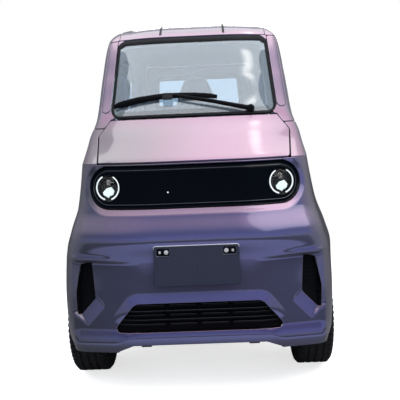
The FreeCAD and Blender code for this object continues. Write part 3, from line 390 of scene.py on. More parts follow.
def clipped(points, normals, field):
    """Triangles and quads of a closed grid where field >= 0, with its boundary laid on field = 0."""
    p, n, f = points.reshape(-1, 3).copy(), normals.reshape(-1, 3).copy(), field.ravel().copy()
    quads = grid_quads(*field.shape)
    a, b, c, d = quads.T
    best = {}
    for first, second in ((a, b), (a, d), (a, c)):
        cross = (f[first] * f[second]) < 0
        for i, j in zip(first[cross], second[cross]):
            t = f[i] / (f[i] - f[j])
            for v, w, share in ((i, j, t), (j, i, 1 - t)):
                if share < 0.2 and share < best.get(v, (1,))[0]:
                    best[v] = (share, w)
    moves = {v: p[v] + (p[w] - p[v]) * share for v, (share, w) in best.items()}
    for v, spot in moves.items():
        p[v] = spot
        f[v] = 0.0
    fq = f[quads]
    whole = quads[(fq >= 0).all(axis=1) & (fq > 0).any(axis=1)]
    mixed = quads[(fq < 0).any(axis=1) & (fq > 0).any(axis=1)]
    p, n = list(p), list(n)
    made, faces = {}, [tuple(q) for q in whole]

    def between(i, j):
        key = (min(i, j), max(i, j))
        if key not in made:
            t = f[i] / (f[i] - f[j])
            made[key] = len(p)
            p.append(p[i] + (p[j] - p[i]) * t)
            m = n[i] + (n[j] - n[i]) * t
            n.append(m / np.linalg.norm(m))
        return made[key]

    for quad in mixed:
        for tri in ((quad[0], quad[1], quad[2]), (quad[0], quad[2], quad[3])):
            signs = [f[i] for i in tri]
            if max(signs) <= 0:
                continue
            loop = []
            for k in range(3):
                i, j = tri[k], tri[(k + 1) % 3]
                if f[i] >= 0:
                    loop.append(i)
                if f[i] * f[j] < 0:
                    loop.append(between(i, j))
            if len(loop) > 2:
                faces.append(tuple(loop))
    used = np.unique(np.concatenate([np.array(face) for face in faces]))
    renumber = {v: k for k, v in enumerate(used)}
    faces = [tuple(renumber[v] for v in face) for face in faces]
    return np.array([p[v] for v in used]), np.array([n[v] for v in used]), faces


def rims(faces):
    """Directed boundary loops of a sheet of faces."""
    ahead, seen = {}, set()
    for face in faces:
        for i, j in zip(face, face[1:] + face[:1]):
            seen.add((i, j))
    for i, j in seen:
        if (j, i) not in seen:
            ahead.setdefault(i, []).append(j)
    loops = []
    while ahead:
        start = next(iter(ahead))
        loop, here = [], start
        while here in ahead:
            loop.append(here)
            options = ahead[here]
            following = options.pop()
            if not options:
                del ahead[here]
            here = following
            if here == start:
                break
        if len(loop) > 2:
            loops.append(loop)
    return loops


def panel(name, grid, field, skin, lining, thick, roll=ROLL, sunk=0.0):
    """A shell of the body: an outer sheet, folded edges and an inner sheet, closed all round."""
    normals = facing(grid)
    values = field(grid[..., 0], grid[..., 1], grid[..., 2]) - roll
    p, n, faces = clipped(grid - normals * sunk, normals, values)
    check = np.cross(p[faces[0][1]] - p[faces[0][0]], p[faces[0][2]] - p[faces[0][0]])
    if check @ n[faces[0][0]] < 0:
        faces = [face[::-1] for face in faces]
    count = len(p)
    all_p, all_n = [p, p - n * thick], [n, -n]
    inner = [tuple(v + count for v in face[::-1]) for face in faces]
    out_faces, out_normals = list(faces) + inner, list(faces) + inner
    kinds = [0] * len(faces) + [1] * len(faces)
    total = 2 * count
    for loop in rims(faces):
        ring = np.array(loop)
        here, m = p[ring], n[ring]
        out = unit(np.cross(unit(np.roll(here, -1, axis=0) - np.roll(here, 1, axis=0)), m))
        rows = [(ring, ring)]    # numbers of the points and of the normals along the folded edge
        for angle in np.radians((30, 60, 90) if roll > 0 else ()):
            all_p.append(here + out * roll * math.sin(angle) - m * roll * (1 - math.cos(angle)))
            all_n.append(m * math.cos(angle) + out * math.sin(angle))
            rows.append((np.arange(total, total + len(ring)),) * 2)
            total += len(ring)
        all_p.append(here)       # not in any face: these points only number the wall's normals
        all_n.append(out)
        wall = np.arange(total, total + len(ring))
        total += len(ring)
        strips = list(zip(rows, rows[1:])) + [((rows[-1][0], wall), (ring + count, wall))]
        for (v0, n0), (v1, n1) in strips:
            for k in range(len(ring)):
                q = (k + 1) % len(ring)
                out_faces.append((v0[q], v0[k], v1[k], v1[q]))
                out_normals.append((n0[q], n0[k], n1[k], n1[q]))
                kinds.append(0)
    points, vectors = np.concatenate(all_p), np.concatenate(all_n)
    keep = np.unique(np.concatenate([np.array(f) for f in out_faces]))
    order = np.full(len(points), -1)
    order[keep] = np.arange(len(keep))
    out_faces = [tuple(order[list(f)]) for f in out_faces]
    corner_normals = vectors[np.concatenate([np.array(f) for f in out_normals])]
    mesh = smooth_mesh(name, place(points[keep]), out_faces, [skin, lining], kinds)
    mesh.validate()
    mesh.normals_split_custom_set([tuple(n) for n in corner_normals])
    mesh.update()
    return in_scene(name, mesh)


def offset(line, d):
    """Closed outline moved inwards by d, one value or one for each point."""
    ahead, behind = np.roll(line, -1, axis=0) - line, line - np.roll(line, 1, axis=0)
    along = unit(unit(ahead) + unit(behind))
    x, y = line[:, 0], line[:, 1]
    turn = 1 if (x * np.roll(y, -1) - np.roll(x, -1) * y).sum() > 0 else -1
    return line + np.column_stack([-along[:, 1], along[:, 0]]) * turn * np.reshape(d, (-1, 1))


def divided(line, step):
    """Closed outline with no side longer than step."""
    made = []
    for a, b in zip(line, np.roll(line, -1, axis=0)):
        count = max(1, math.ceil(np.linalg.norm(b - a) / step))
        made += [a + (b - a) * k / count for k in range(count)]
    return np.array(made)


def band(name, surface, view, outline, section, material):
    """Strip that follows an outline on the body; section is (inwards, height) pairs, and inwards a number
    or a function of the outline's points."""
    line = divided(rounded(outline), 22)
    strip, rings = Shells(material), []
    for inwards, height in section:
        moved = offset(line, inwards(line) if callable(inwards) else inwards)
        rings.append(np.array([surface.at(view, u, v, height) for u, v in moved]))
    strip.loft(rings, 0, True)
    return strip.piece(name)


def box_outline(x, z, width, height, radius, steps=4):
    """Rounded rectangle about (x, z)."""
    return rounded([(x - width / 2, z - height / 2, radius), (x + width / 2, z - height / 2, radius),
                    (x + width / 2, z + height / 2, radius), (x - width / 2, z + height / 2, radius)], steps)


def circle(radius, steps=72, first=0.0, last=360.0):
    """Points of a circle, or of its arc between two angles in degrees."""
    turn = np.radians(np.linspace(first, last, steps, endpoint=last - first < 360))
    return np.column_stack([radius * np.cos(turn), radius * np.sin(turn)])


class Shells:
    """Closed shells in millimetres (x, station, z), gathered into one piece."""

    def __init__(self, *materials):
        self.points, self.faces, self.kinds, self.materials = [], [], [], materials

    def add(self, points, faces, kind=0):
        first = len(self.points)
        self.points += [tuple(p) for p in points]
        self.faces += [tuple(first + int(i) for i in face) for face in faces]
        self.kinds += [kind] * len(faces)

    def loft(self, rings, kind=0, looped=False):
        """Skin over rings of equal length, with flat ends unless the last ring joins the first."""
        count, faces = len(rings[0]), []
        for r in range(len(rings) if looped else len(rings) - 1):
            a, b = r * count, (r + 1) % len(rings) * count
            faces += [(a + k, a + (k + 1) % count, b + (k + 1) % count, b + k) for k in range(count)]
        if not looped:
            last = (len(rings) - 1) * count
            faces += [tuple(range(count)), tuple(range(last, last + count))]
        self.add(np.concatenate(rings), faces, kind)

    def slab(self, outline, front, back, edge=1.5, kind=0, spot=None):
        """Flat or fitted slab of an (x, z) outline with rounded front edges; spot(x, z, depth) places it."""
        spot = spot or (lambda x, z, depth: (x, depth, z))
        rings = []
        for inwards, depth in ((edge, front), (edge * 0.3, front + edge * 0.3), (0, front + edge), (0, back)):
            rings.append(np.array([spot(x, z, depth) for x, z in offset(outline, inwards)]))
        self.loft(rings, kind)

    def holed(self, loops, front, back, edge=1.0, kind=0, spot=None):
        """Slab of an outer outline with holes."""
        spot = spot or (lambda x, z, depth: (x, depth, z))
        for depth, inwards in ((front, edge), (back, 0)):
            rings = [offset(loop, inwards if i == 0 else -inwards) for i, loop in enumerate(loops)]
            cut = tessellate_polygon([[Vector((x, z, 0)) for x, z in ring] for ring in rings])
            self.add([spot(x, z, depth) for ring in rings for x, z in ring], cut, kind)
        for i, loop in enumerate(loops):
            side = [offset(loop, edge if i == 0 else -edge), loop, loop]
            depths = (front, front + edge, back)
            rings = [np.array([spot(x, z, depth) for x, z in ring]) for ring, depth in zip(side, depths)]
            count = len(loop)
            faces = [(r * count + k, r * count + (k + 1) % count, (r + 1) * count + (k + 1) % count,
                      (r + 1) * count + k) for r in range(2) for k in range(count)]
            self.add(np.concatenate(rings), faces, kind)

    def lathe(self, profile, centre, axis=1, kind=0, steps=64, looped=False):
        """Profile (radius, along) turned about an axis through centre: 0 is x, 1 is s, 2 is z."""
        turn = np.linspace(0, 2 * math.pi, steps, endpoint=False)
        rings = []
        for radius, along in profile:
            ring = np.zeros((steps, 3))
            others = [i for i in range(3) if i != axis]
            ring[:, others[0]], ring[:, others[1]] = radius * np.cos(turn), radius * np.sin(turn)
            ring[:, axis] = along
            rings.append(ring + centre)
        self.loft(rings, kind, looped)

    def turned(self, profile, spot, kind=0):
        """Closed profile (radius, depth) turned about an axis that spot(across, up, depth) places."""
        self.loft([np.array([spot(u, v, depth) for u, v in circle(radius)]) for radius, depth in profile],
                  kind, True)

    def tube(self, path, radius, kind=0, steps=12, flat=1.0, looped=False, up=(0, 1, 0)):
        """Round or oval bar along a path; flat scales its radius along up."""
        path = np.array(path, float)
        ahead = np.roll(path, -1, axis=0) - np.roll(path, 1, axis=0)
        if not looped:
            ahead[0], ahead[-1] = path[1] - path[0], path[-1] - path[-2]
        radii = np.broadcast_to(radius, len(path))
        turn = np.linspace(0, 2 * math.pi, steps, endpoint=False)[:, None]
        rings = []
        for p, along, r in zip(path, ahead, radii):
            along = along / np.linalg.norm(along)
            side = np.cross(along, up)
            side /= np.linalg.norm(side)
            top = np.cross(side, along)
            rings.append(p + r * (side * np.cos(turn) + top * np.sin(turn) * flat))
        self.loft(rings, kind, looped)

    def piece(self, name, sharp=32):
        """The shells as one object, with a crease where faces meet at more than sharp degrees."""
        mesh = smooth_mesh(name, place(self.points), self.faces, self.materials, self.kinds)
        turn_outwards(mesh)
        mesh.set_sharp_from_angle(angle=math.radians(sharp))
        mesh.update()
        return in_scene(name, mesh)


def settle(piece, body, slot, *replaced):
    """Fixes a piece to its body and hides the nodes that it stands for; slot, its finish, is not used."""
    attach(piece, body)
    if replaced:
        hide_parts(*replaced)
    return piece


# ---------------------------------------------------------------- shader groups and materials
def new_group(name, inputs, outputs):
    tree = bpy.data.node_groups.new(name, "ShaderNodeTree")
    for label, kind, value in inputs:
        socket = tree.interface.new_socket(name=label, in_out="INPUT", socket_type=kind)
        if value is not None:
            socket.default_value = value
    for label, kind in outputs:
        tree.interface.new_socket(name=label, in_out="OUTPUT", socket_type=kind)
    return tree, tree.nodes.new("NodeGroupInput"), tree.nodes.new("NodeGroupOutput")


def node(tree, kind, **settings):
    """A new shader node with its settings."""
    made = tree.nodes.new("ShaderNode" + kind)
    for key, value in settings.items():
        setattr(made, key, value)
    return made


def wire(tree, start, end):
    tree.links.new(start, end)


def noise(tree, vector, scale, detail=2.0, rough=0.5):
    made = node(tree, "TexNoise")
    made.inputs["Scale"].default_value = scale
    made.inputs["Detail"].default_value = detail
    made.inputs["Roughness"].default_value = rough
    wire(tree, vector, made.inputs["Vector"])
    return made.outputs["Fac"]


def maths(tree, what, a, b=None, clamp=False):
    made = node(tree, "Math", operation=what, use_clamp=clamp)
    for socket, value in zip(made.inputs, (a, b)):
        if isinstance(value, (int, float)):
            socket.default_value = value
        elif value is not None:
            wire(tree, value, socket)
    return made.outputs[0]


def linear(tree, value, factor, offset):
    """The value times a factor, plus an offset."""
    return maths(tree, "ADD", maths(tree, "MULTIPLY", value, factor), offset)


def mapped(tree, value, from_min, from_max, to_min=0.0, to_max=1.0, kind="SMOOTHSTEP"):
    """The value taken softly from one range to another."""
    made = node(tree, "MapRange", interpolation_type=kind)
    labels = ("From Min", "From Max", "To Min", "To Max")
    for label, limit in zip(labels, (from_min, from_max, to_min, to_max)):
        made.inputs[label].default_value = limit
    wire(tree, value, made.inputs["Value"])
    return made.outputs["Result"]


def vectors(tree, what, *values, output="Vector"):
    """A vector sum of sockets and constants, in the order of the node's own inputs."""
    made = node(tree, "VectorMath", operation=what)
    for socket, value in zip(made.inputs, values):
        if isinstance(value, tuple):
            socket.default_value = value
        else:
            wire(tree, value, socket)
    return made.outputs[output]


def split(tree, vector):
    """The three parts of a vector."""
    made = node(tree, "SeparateXYZ")
    wire(tree, vector, made.inputs[0])
    return made.outputs["X"], made.outputs["Y"], made.outputs["Z"]


def ramp(tree, factor, stops):
    made = node(tree, "ValToRGB")
    made.color_ramp.interpolation = "EASE"
    elements = made.color_ramp.elements
    while len(elements) < len(stops):
        elements.new(0.5)
    for element, (spot, colour) in zip(elements, stops):
        element.position = spot
        element.color = (*colour, 1)
    wire(tree, factor, made.inputs["Fac"])
    return made.outputs["Color"]


def mixed(tree, factor, a, b):
    made = node(tree, "Mix", data_type="RGBA")
    for socket, value in ((made.inputs[0], factor), (made.inputs[6], a), (made.inputs[7], b)):
        if isinstance(value, (int, float)):
            socket.default_value = value
        elif isinstance(value, tuple):
            socket.default_value = (*value, 1)
        else:
            wire(tree, value, socket)
    return made.outputs[2]


def pearl_and_painted_light_group():
    """Colour of a pearl coat that shifts with the way the panel faces, with painted light and shade in it."""
    tree, given, out = new_group("pearl_shift_and_painted_light", [("Normal", "NodeSocketVector", None),
                                                 ("Position", "NodeSocketVector", None)],
                                 [("Color", "NodeSocketColor")])
    normal_x, normal_y, normal_z = split(tree, given.outputs["Normal"])
    x, y, z = split(tree, given.outputs["Position"])
    # Colour by slope, partly the pearl coat's shift in hue and partly painted light and shade: each band is
    # lighter or darker as light falls on faces of that slope, and faces turned up are painted lightest.
    upwards = linear(tree, normal_z, 0.5, 0.5)
    ahead = ramp(tree, upwards, [(0.25, (0.14, 0.145, 0.23)), (0.39, (0.28, 0.30, 0.62)),
                                 (0.455, (0.27, 0.28, 0.58)), (0.485, (0.10, 0.102, 0.19)),
                                 (0.515, (0.10, 0.105, 0.20)), (0.545, (0.19, 0.197, 0.35)),
                                 (0.59, (0.14, 0.148, 0.39)), (0.70, (0.055, 0.055, 0.19)),
                                 (0.77, (0.165, 0.115, 0.24)), (0.82, (0.39, 0.255, 0.37)),
                                 (0.86, (0.42, 0.22, 0.34)), (1.0, (0.44, 0.245, 0.34))])
    aside = ramp(tree, upwards, [(0.30, (0.11, 0.115, 0.125)), (0.5, (0.222, 0.216, 0.252)),
                                 (0.68, (0.23, 0.213, 0.26)), (0.9, (0.36, 0.31, 0.35))])
    rear = ramp(tree, upwards, [(0.35, (0.12, 0.12, 0.21)), (0.5, (0.19, 0.17, 0.30)),
                                (0.62, (0.26, 0.20, 0.33)), (0.9, (0.42, 0.25, 0.35))])
    across = mapped(tree, maths(tree, "ABSOLUTE", normal_x), 0.28, 0.86)
    coat = mixed(tree, mapped(tree, normal_y, 0.05, 0.6), ahead, rear)
    coat = mixed(tree, across, coat, aside)
    coat = mixed(tree, mapped(tree, z, 1.46, 1.51, 0.0, 0.85), coat, (0.11, 0.092, 0.135))
    # Painted shade: the car's right flank is darkened up to the waist, as if it stood in shade, and less on
    # faces turned aside.
    inward = mapped(tree, z, 0.70, 0.86, 0.28, 0.0)
    right_flank_shade = mapped(tree, maths(tree, "ADD", x, inward), 0.12, -0.34, 0.0, 0.95)
    low = mapped(tree, z, 1.02, 1.12, 1.0, 0.1)
    front_only = maths(tree, "SUBTRACT", 1.0, maths(tree, "MULTIPLY", across, 0.7))
    shade = maths(tree, "MULTIPLY", maths(tree, "MULTIPLY", right_flank_shade, low), front_only)
    # Painted shade: a darker, greyer copy of the coat for the shaded flank.
    shaded_coat = node(tree, "HueSaturation")
    shaded_coat.inputs["Saturation"].default_value = 0.45
    shaded_coat.inputs["Value"].default_value = 0.44
    wire(tree, coat, shaded_coat.inputs["Color"])
    coat = mixed(tree, shade, coat, shaded_coat.outputs["Color"])
    cloud = noise(tree, given.outputs["Position"], 2.2, 2.0)
    lively = node(tree, "HueSaturation")
    wire(tree, linear(tree, cloud, 0.03, 0.485), lively.inputs["Hue"])
    wire(tree, linear(tree, cloud, 0.18, 0.91), lively.inputs["Value"])
    wire(tree, coat, lively.inputs["Color"])
    wire(tree, lively.outputs["Color"], out.inputs["Color"])
    return tree


def flake_group():
    """Fine metal flakes: a brightness that varies from flake to flake."""
    tree, given, out = new_group("flakes", [("Position", "NodeSocketVector", None),
                                            ("Size", "NodeSocketFloat", 900.0),
                                            ("Strength", "NodeSocketFloat", 0.2)],
                                 [("Sparkle", "NodeSocketFloat")])
    cells = node(tree, "TexVoronoi")
    wire(tree, given.outputs["Position"], cells.inputs["Vector"])
    wire(tree, given.outputs["Size"], cells.inputs["Scale"])
    parts = node(tree, "SeparateColor")
    wire(tree, cells.outputs["Color"], parts.inputs[0])
    swing = maths(tree, "MULTIPLY", maths(tree, "SUBTRACT", parts.outputs[0], 0.5), given.outputs["Strength"])
    wire(tree, maths(tree, "ADD", swing, 1.0), out.inputs["Sparkle"])
    return tree


def grain_group():
    """Leathery grain of moulded plastic and rubber: a height and a colour factor."""
    tree, given, out = new_group("grain", [("Position", "NodeSocketVector", None),
                                           ("Size", "NodeSocketFloat", 400.0)],
                                 [("Height", "NodeSocketFloat"), ("Dirt", "NodeSocketFloat")])
    cells = node(tree, "TexVoronoi", feature="DISTANCE_TO_EDGE")
    wire(tree, given.outputs["Position"], cells.inputs["Vector"])
    wire(tree, given.outputs["Size"], cells.inputs["Scale"])
    wire(tree, maths(tree, "MINIMUM", cells.outputs["Distance"], 0.25), out.inputs["Height"])
    wire(tree, noise(tree, given.outputs["Position"], 9.0, 5.0, 0.6), out.inputs["Dirt"])
    return tree


def weave_group():
    """Plain weave of upholstery cloth: a height and a thread shade."""
    tree, given, out = new_group("weave", [("Position", "NodeSocketVector", None),
                                           ("Threads", "NodeSocketFloat", 700.0)],
                                 [("Height", "NodeSocketFloat"), ("Shade", "NodeSocketFloat")])
    waves = []
    for direction in ("X", "Z"):
        wave = node(tree, "TexWave", wave_type="BANDS", bands_direction=direction)
        wave.inputs["Distortion"].default_value = 0.6
        wave.inputs["Detail"].default_value = 1.0
        wire(tree, given.outputs["Position"], wave.inputs["Vector"])
        wire(tree, given.outputs["Threads"], wave.inputs["Scale"])
        waves.append(wave.outputs["Fac"])
    height = maths(tree, "MAXIMUM", waves[0], waves[1])
    wire(tree, height, out.inputs["Height"])
    wire(tree, linear(tree, height, 0.35, 0.75), out.inputs["Shade"])
    return tree


GROUPS = {"pearl": pearl_and_painted_light_group(), "flakes": flake_group(), "grain": grain_group(), "weave": weave_group()}


def finish(name, colour, rough, metallic=0.0, coat=0.0, coat_rough=0.03, ior=1.5):
    """A new material with its Principled shader, object coordinates and plain values set."""
    material = bpy.data.materials.new(name)
    material.use_nodes = True
    tree = material.node_tree
    shader = tree.nodes["Principled BSDF"]
    shader.inputs["Base Color"].default_value = (*colour, 1)
    shader.inputs["Roughness"].default_value = rough
    shader.inputs["Metallic"].default_value = metallic
    shader.inputs["Coat Weight"].default_value = coat
    shader.inputs["Coat Roughness"].default_value = coat_rough
    shader.inputs["IOR"].default_value = ior
    spot = node(tree, "TexCoord")
    return material, tree, shader, spot.outputs["Object"]


def group(tree, kind, position, **values):
    """One of the shader groups, read at a position and with its own values."""
    made = node(tree, "Group", node_tree=GROUPS[kind])
    for key, value in values.items():
        made.inputs[key.capitalize()].default_value = value
    wire(tree, position, made.inputs["Position"])
    return made


def bumped(tree, shader, height, strength, distance=0.001):
    bump = node(tree, "Bump")
    bump.inputs["Strength"].default_value = strength
    bump.inputs["Distance"].default_value = distance
    wire(tree, height, bump.inputs["Height"])
    wire(tree, bump.outputs["Normal"], shader.inputs["Normal"])


def scaled(tree, colour, factor):
    """A colour made brighter or darker by a factor."""
    made = node(tree, "VectorMath", operation="SCALE")
    wire(tree, colour, made.inputs[0])
    wire(tree, factor, made.inputs["Scale"])
    return made.outputs[0]


def pearl_paint_with_painted_light():
    """Clear-coated pearl paint whose colour shifts with the way a panel faces, with painted light and shade
    in that colour.
    """
    material, tree, shader, spot = finish("pearl_paint_with_painted_light", (0.5, 0.4, 0.5), 0.34, 0.35, 1.0, 0.07)
    shift = group(tree, "pearl", spot)
    wire(tree, node(tree, "TexCoord").outputs["Normal"], shift.inputs["Normal"])
    flakes = group(tree, "flakes", spot, size=700.0, strength=0.22)
    wire(tree, scaled(tree, shift.outputs["Color"], flakes.outputs["Sparkle"]), shader.inputs["Base Color"])
    wire(tree, linear(tree, noise(tree, spot, 14.0, 4.0), 0.10, 0.27), shader.inputs["Roughness"])
    bumped(tree, shader, noise(tree, spot, 160.0, 1.0), 0.012)
    return material


def moulded(name, colour, rough, grain=500.0, strength=0.25, dust=0.4, ior=1.5):
    """Grained black plastic or rubber with a little dust in random patches."""
    material, tree, shader, spot = finish(name, colour, rough, ior=ior)
    made = group(tree, "grain", spot, size=grain)
    pale = tuple(min(1, c * 1.9 + 0.012) for c in colour)
    wire(tree, mixed(tree, maths(tree, "MULTIPLY", made.outputs["Dirt"], dust), colour, pale),
         shader.inputs["Base Color"])
    wire(tree, linear(tree, made.outputs["Dirt"], 0.2, rough - 0.1), shader.inputs["Roughness"])
    bumped(tree, shader, made.outputs["Height"], strength, 0.0006)
    return material


def lacquered(name, colour, rough=0.06, tint=0.02, coat=1.0, ior=1.5):
    """High-gloss plastic with faint polishing haze."""
    material, tree, shader, spot = finish(name, colour, rough, 0.0, coat, 0.015, ior)
    haze = noise(tree, spot, 6.0, 4.0)
    wire(tree, mixed(tree, haze, colour, tuple(c + tint for c in colour)), shader.inputs["Base Color"])
    wire(tree, linear(tree, haze, 0.06, rough), shader.inputs["Roughness"])
    return material


def metal(name, colour, rough, scale=60.0):
    """Cast or rolled metal with uneven roughness."""
    material, tree, shader, spot = finish(name, colour, rough, 1.0)
    wear = noise(tree, spot, scale, 5.0, 0.6)
    wire(tree, mixed(tree, wear, tuple(c * 0.75 for c in colour), colour), shader.inputs["Base Color"])
    wire(tree, linear(tree, wear, 0.25, rough - 0.1), shader.inputs["Roughness"])
    bumped(tree, shader, wear, 0.08, 0.0005)
    return material


def clear_glass(name, colour, ior, clear=1.0):
    """Tinted glass with faint streaks; clear is the share of light that goes through."""
    material, tree, shader, spot = finish(name, colour, 0.0, ior=ior)
    shader.inputs["Transmission Weight"].default_value = clear
    streak = noise(tree, spot, 3.0, 3.0)
    wire(tree, mixed(tree, streak, colour, tuple(c * 0.96 for c in colour)), shader.inputs["Base Color"])
    wire(tree, maths(tree, "MULTIPLY", streak, 0.02), shader.inputs["Roughness"])
    return material


def glowing(name, colour, strength):
    """Lit white plastic of a lamp."""
    material, tree, shader, spot = finish(name, (0.35, 0.37, 0.38), 0.3)
    cloud = noise(tree, spot, 90.0, 2.0)
    wire(tree, mixed(tree, cloud, colour, tuple(c * 0.9 for c in colour)), shader.inputs["Emission Color"])
    shader.inputs["Emission Strength"].default_value = strength
    return material


def cloth(name, colour, threads=650.0):
    """Woven upholstery cloth with a soft sheen."""
    material, tree, shader, spot = finish(name, colour, 0.85)
    shader.inputs["Sheen Weight"].default_value = 0.25
    made = group(tree, "weave", spot, threads=threads)
    soft = mixed(tree, noise(tree, spot, 12.0, 3.0), colour, tuple(min(1, c * 1.25) for c in colour))
    wire(tree, scaled(tree, soft, made.outputs["Shade"]), shader.inputs["Base Color"])
    bumped(tree, shader, made.outputs["Height"], 0.35, 0.0006)
    return material


PAINT = pearl_paint_with_painted_light()
TRIM = moulded("inner_trim", (0.22, 0.23, 0.24), 0.6)
BLACK = moulded("black_trim", (0.0025, 0.0028, 0.0045), 0.5, 600.0, 0.25, 0.08, 1.3)
RUBBER = moulded("rubber", (0.0035, 0.004, 0.007), 0.6, 900.0, 0.15, 0.05, 1.25)
TYRE = moulded("tyre_rubber", (0.009, 0.009, 0.010), 0.72, 700.0, 0.25, 0.3)
PIANO = lacquered("piano_black", (0.0008, 0.0022, 0.0050), 0.10, 0.001, 0.0, 1.22)
# Lighter grey laid along edges as a painted highlight: the lamp panel's border and the top front edges of the
# louvres.
EDGE_HIGHLIGHT = lacquered("painted_edge_highlight", (0.06, 0.07, 0.085), 0.2)
UNDER = moulded("underbody_coat", (0.018, 0.018, 0.02), 0.6, 260.0, 0.3)
RIM_METAL = metal("rim_silver", (0.55, 0.56, 0.58), 0.32)
STEEL = metal("steel", (0.45, 0.45, 0.46), 0.4)
WINDOW = clear_glass("window_glass", (0.68, 0.83, 0.96), 1.9, 0.90)
DOME = clear_glass("lamp_glass", (0.95, 0.97, 0.98), 1.15)
RED_LENS = lacquered("red_lens", (0.30, 0.008, 0.008))
FRIT = lacquered("frit_band", (0.020, 0.025, 0.035), 0.3, 0.01, 0.0)
PLATE = lacquered("plate_blank", (0.036, 0.044, 0.080), 0.34, 0.008)
SCREW = lacquered("screw_cap", (0.75, 0.77, 0.80), 0.3)
LENS = lacquered("lamp_module", (0.075, 0.07, 0.06), 0.2)
SEAT = cloth("seat_cloth", (0.30, 0.32, 0.35))
LEATHER = moulded("wheel_leather", (0.020, 0.020, 0.022), 0.45, 900.0, 0.3)
BATTERY = moulded("battery_case", (0.03, 0.03, 0.033), 0.55)
GLOW = glowing("lamp_white", (0.90, 0.96, 0.98), 0.88)
BEAM = glowing("lamp_beam", (0.80, 0.95, 0.93), 0.70)


# ---------------------------------------------------------------- body panels
# Each field is positive inside its panel: the least distance in millimetres to the panel's edges
def outside_bonnet(x, s, z, gap):
    return np.maximum(-depth_in(BONNET_PLAN, x, s) - gap, BONNET_FRONT_Z - gap - z)


def arch(s, z, axle_s, radius):
    """Distance outside a wheel arch."""
    return np.hypot(s - axle_s, z - TYRE_R) - radius


def least(*fields):
    return np.minimum.reduce(fields)


def bumper_field(x, s, z):
    return least(depth_in(BUMPER_SIDE, s, z) - FIXED, -depth_in(PILL, x, z) - 1,
                 -depth_in(LOWER_GRILLE, x, z), -depth_in(SIDE_GRILLE, np.abs(x), z),
                 -depth_in(CHIN_NOTCH, x, z), arch(s, z, FRONT_AXLE_S, FRONT_ARCH_R))


def bonnet_field(x, s, z):
    return least(depth_in(BONNET_PLAN, x, s), z - BONNET_FRONT_Z, BONNET_REAR_Z - z)


def wing_field(x, s, z):
    return least(-depth_in(BUMPER_SIDE, s, z) - FIXED, outside_bonnet(x, s, z, SHUT), WING_REAR_S - FIXED - s,
                 WING_TOP_Z - FIXED - z, x - 330, arch(s, z, FRONT_AXLE_S, FRONT_ARCH_R), z - BASE_Z)


def frame_field(x, s, z):
    behind = np.where(s < FRONT_END_S, 0.0, FAR)
    return least(np.maximum(z - WING_TOP_Z - FIXED, s - WING_REAR_S - FIXED),
                 np.maximum(ROOF_SPLIT_Z - FIXED - z, x - ROOF_SPLIT_X - FIXED),
                 np.maximum(-depth_in(BONNET_PLAN, x, s) - SHUT, z - BONNET_REAR_Z - SHUT),
                 np.maximum(np.maximum(x - ROOF_SPLIT_X, z - BONNET_REAR_Z - 6), s - 1000),
                 -depth_in(WINDSCREEN, x, z) + behind, -depth_in(PILLAR_COVER, x, z) - 1.8 + behind,
                 -depth_in(DOOR, s, z) - SHUT, -depth_in(QUARTER_WINDOW, s, z),
                 np.maximum(-depth_in(TAILGATE, x, z) - SHUT, REAR_END_S - s),
                 np.maximum(REAR_BUMPER_S - FIXED - s, z - TAILGATE_SILL_Z + 4),
                 arch(s, z, REAR_AXLE_S, REAR_ARCH_R), z - BASE_Z, x)


def roof_field(x, s, z):
    return least(z - ROOF_SPLIT_Z - FIXED, ROOF_SPLIT_X - FIXED - np.abs(x))


def seen_from(view, outline):
    """Field of an outline that cuts the body on one side only."""
    def field(x, s, z):
        there = {"front": s < FRONT_END_S, "back": s > REAR_END_S, "left": x > 0, "right": x < 0}[view]
        return np.where(there, depth_in(outline, x if view in ("front", "back") else s, z), -FAR)
    return field


def flip(field):
    """The same field on the car's other side."""
    return lambda x, s, z: field(-x, s, z)


def lamp_panel_field(x, s, z):
    lamps = np.hypot(np.abs(x) - LAMP_X, z - LAMP_Z) - LAMP_R - 0.4
    return np.where(s < 400, least(depth_in(PILL, x, z) - 0.4, lamps), -FAR)


def door_field(x, s, z):
    return least(depth_in(DOOR, s, z), -depth_in(DOOR_WINDOW, s, z), x)


def tailgate_field(x, s, z):
    return least(depth_in(TAILGATE, x, z), -depth_in(REAR_WINDOW, x, z), s - REAR_END_S)


def rear_bumper_field(x, s, z):
    return least(s - REAR_BUMPER_S - FIXED, TAILGATE_SILL_Z - 5 - z, z - BASE_Z,
                 arch(s, z, REAR_AXLE_S, REAR_ARCH_R))


# Each window: name, body, nodes replaced, outline and the side it is seen from
PANES = [("windscreen_glass", "body", ("windscreen",), WINDSCREEN, "front"),
         ("rear_window_glass", "tailgate", ("rear_glass",), REAR_WINDOW, "back"),
         ("door_window_left", "door_left", ("door_glass_left",), DOOR_WINDOW, "left"),
         ("door_window_right", "door_right", ("door_glass_right",), DOOR_WINDOW, "right"),
         ("quarter_window_left", "body", ("quarter_glass",), QUARTER_WINDOW, "left"),
         ("quarter_window_right", "body", (), QUARTER_WINDOW, "right")]


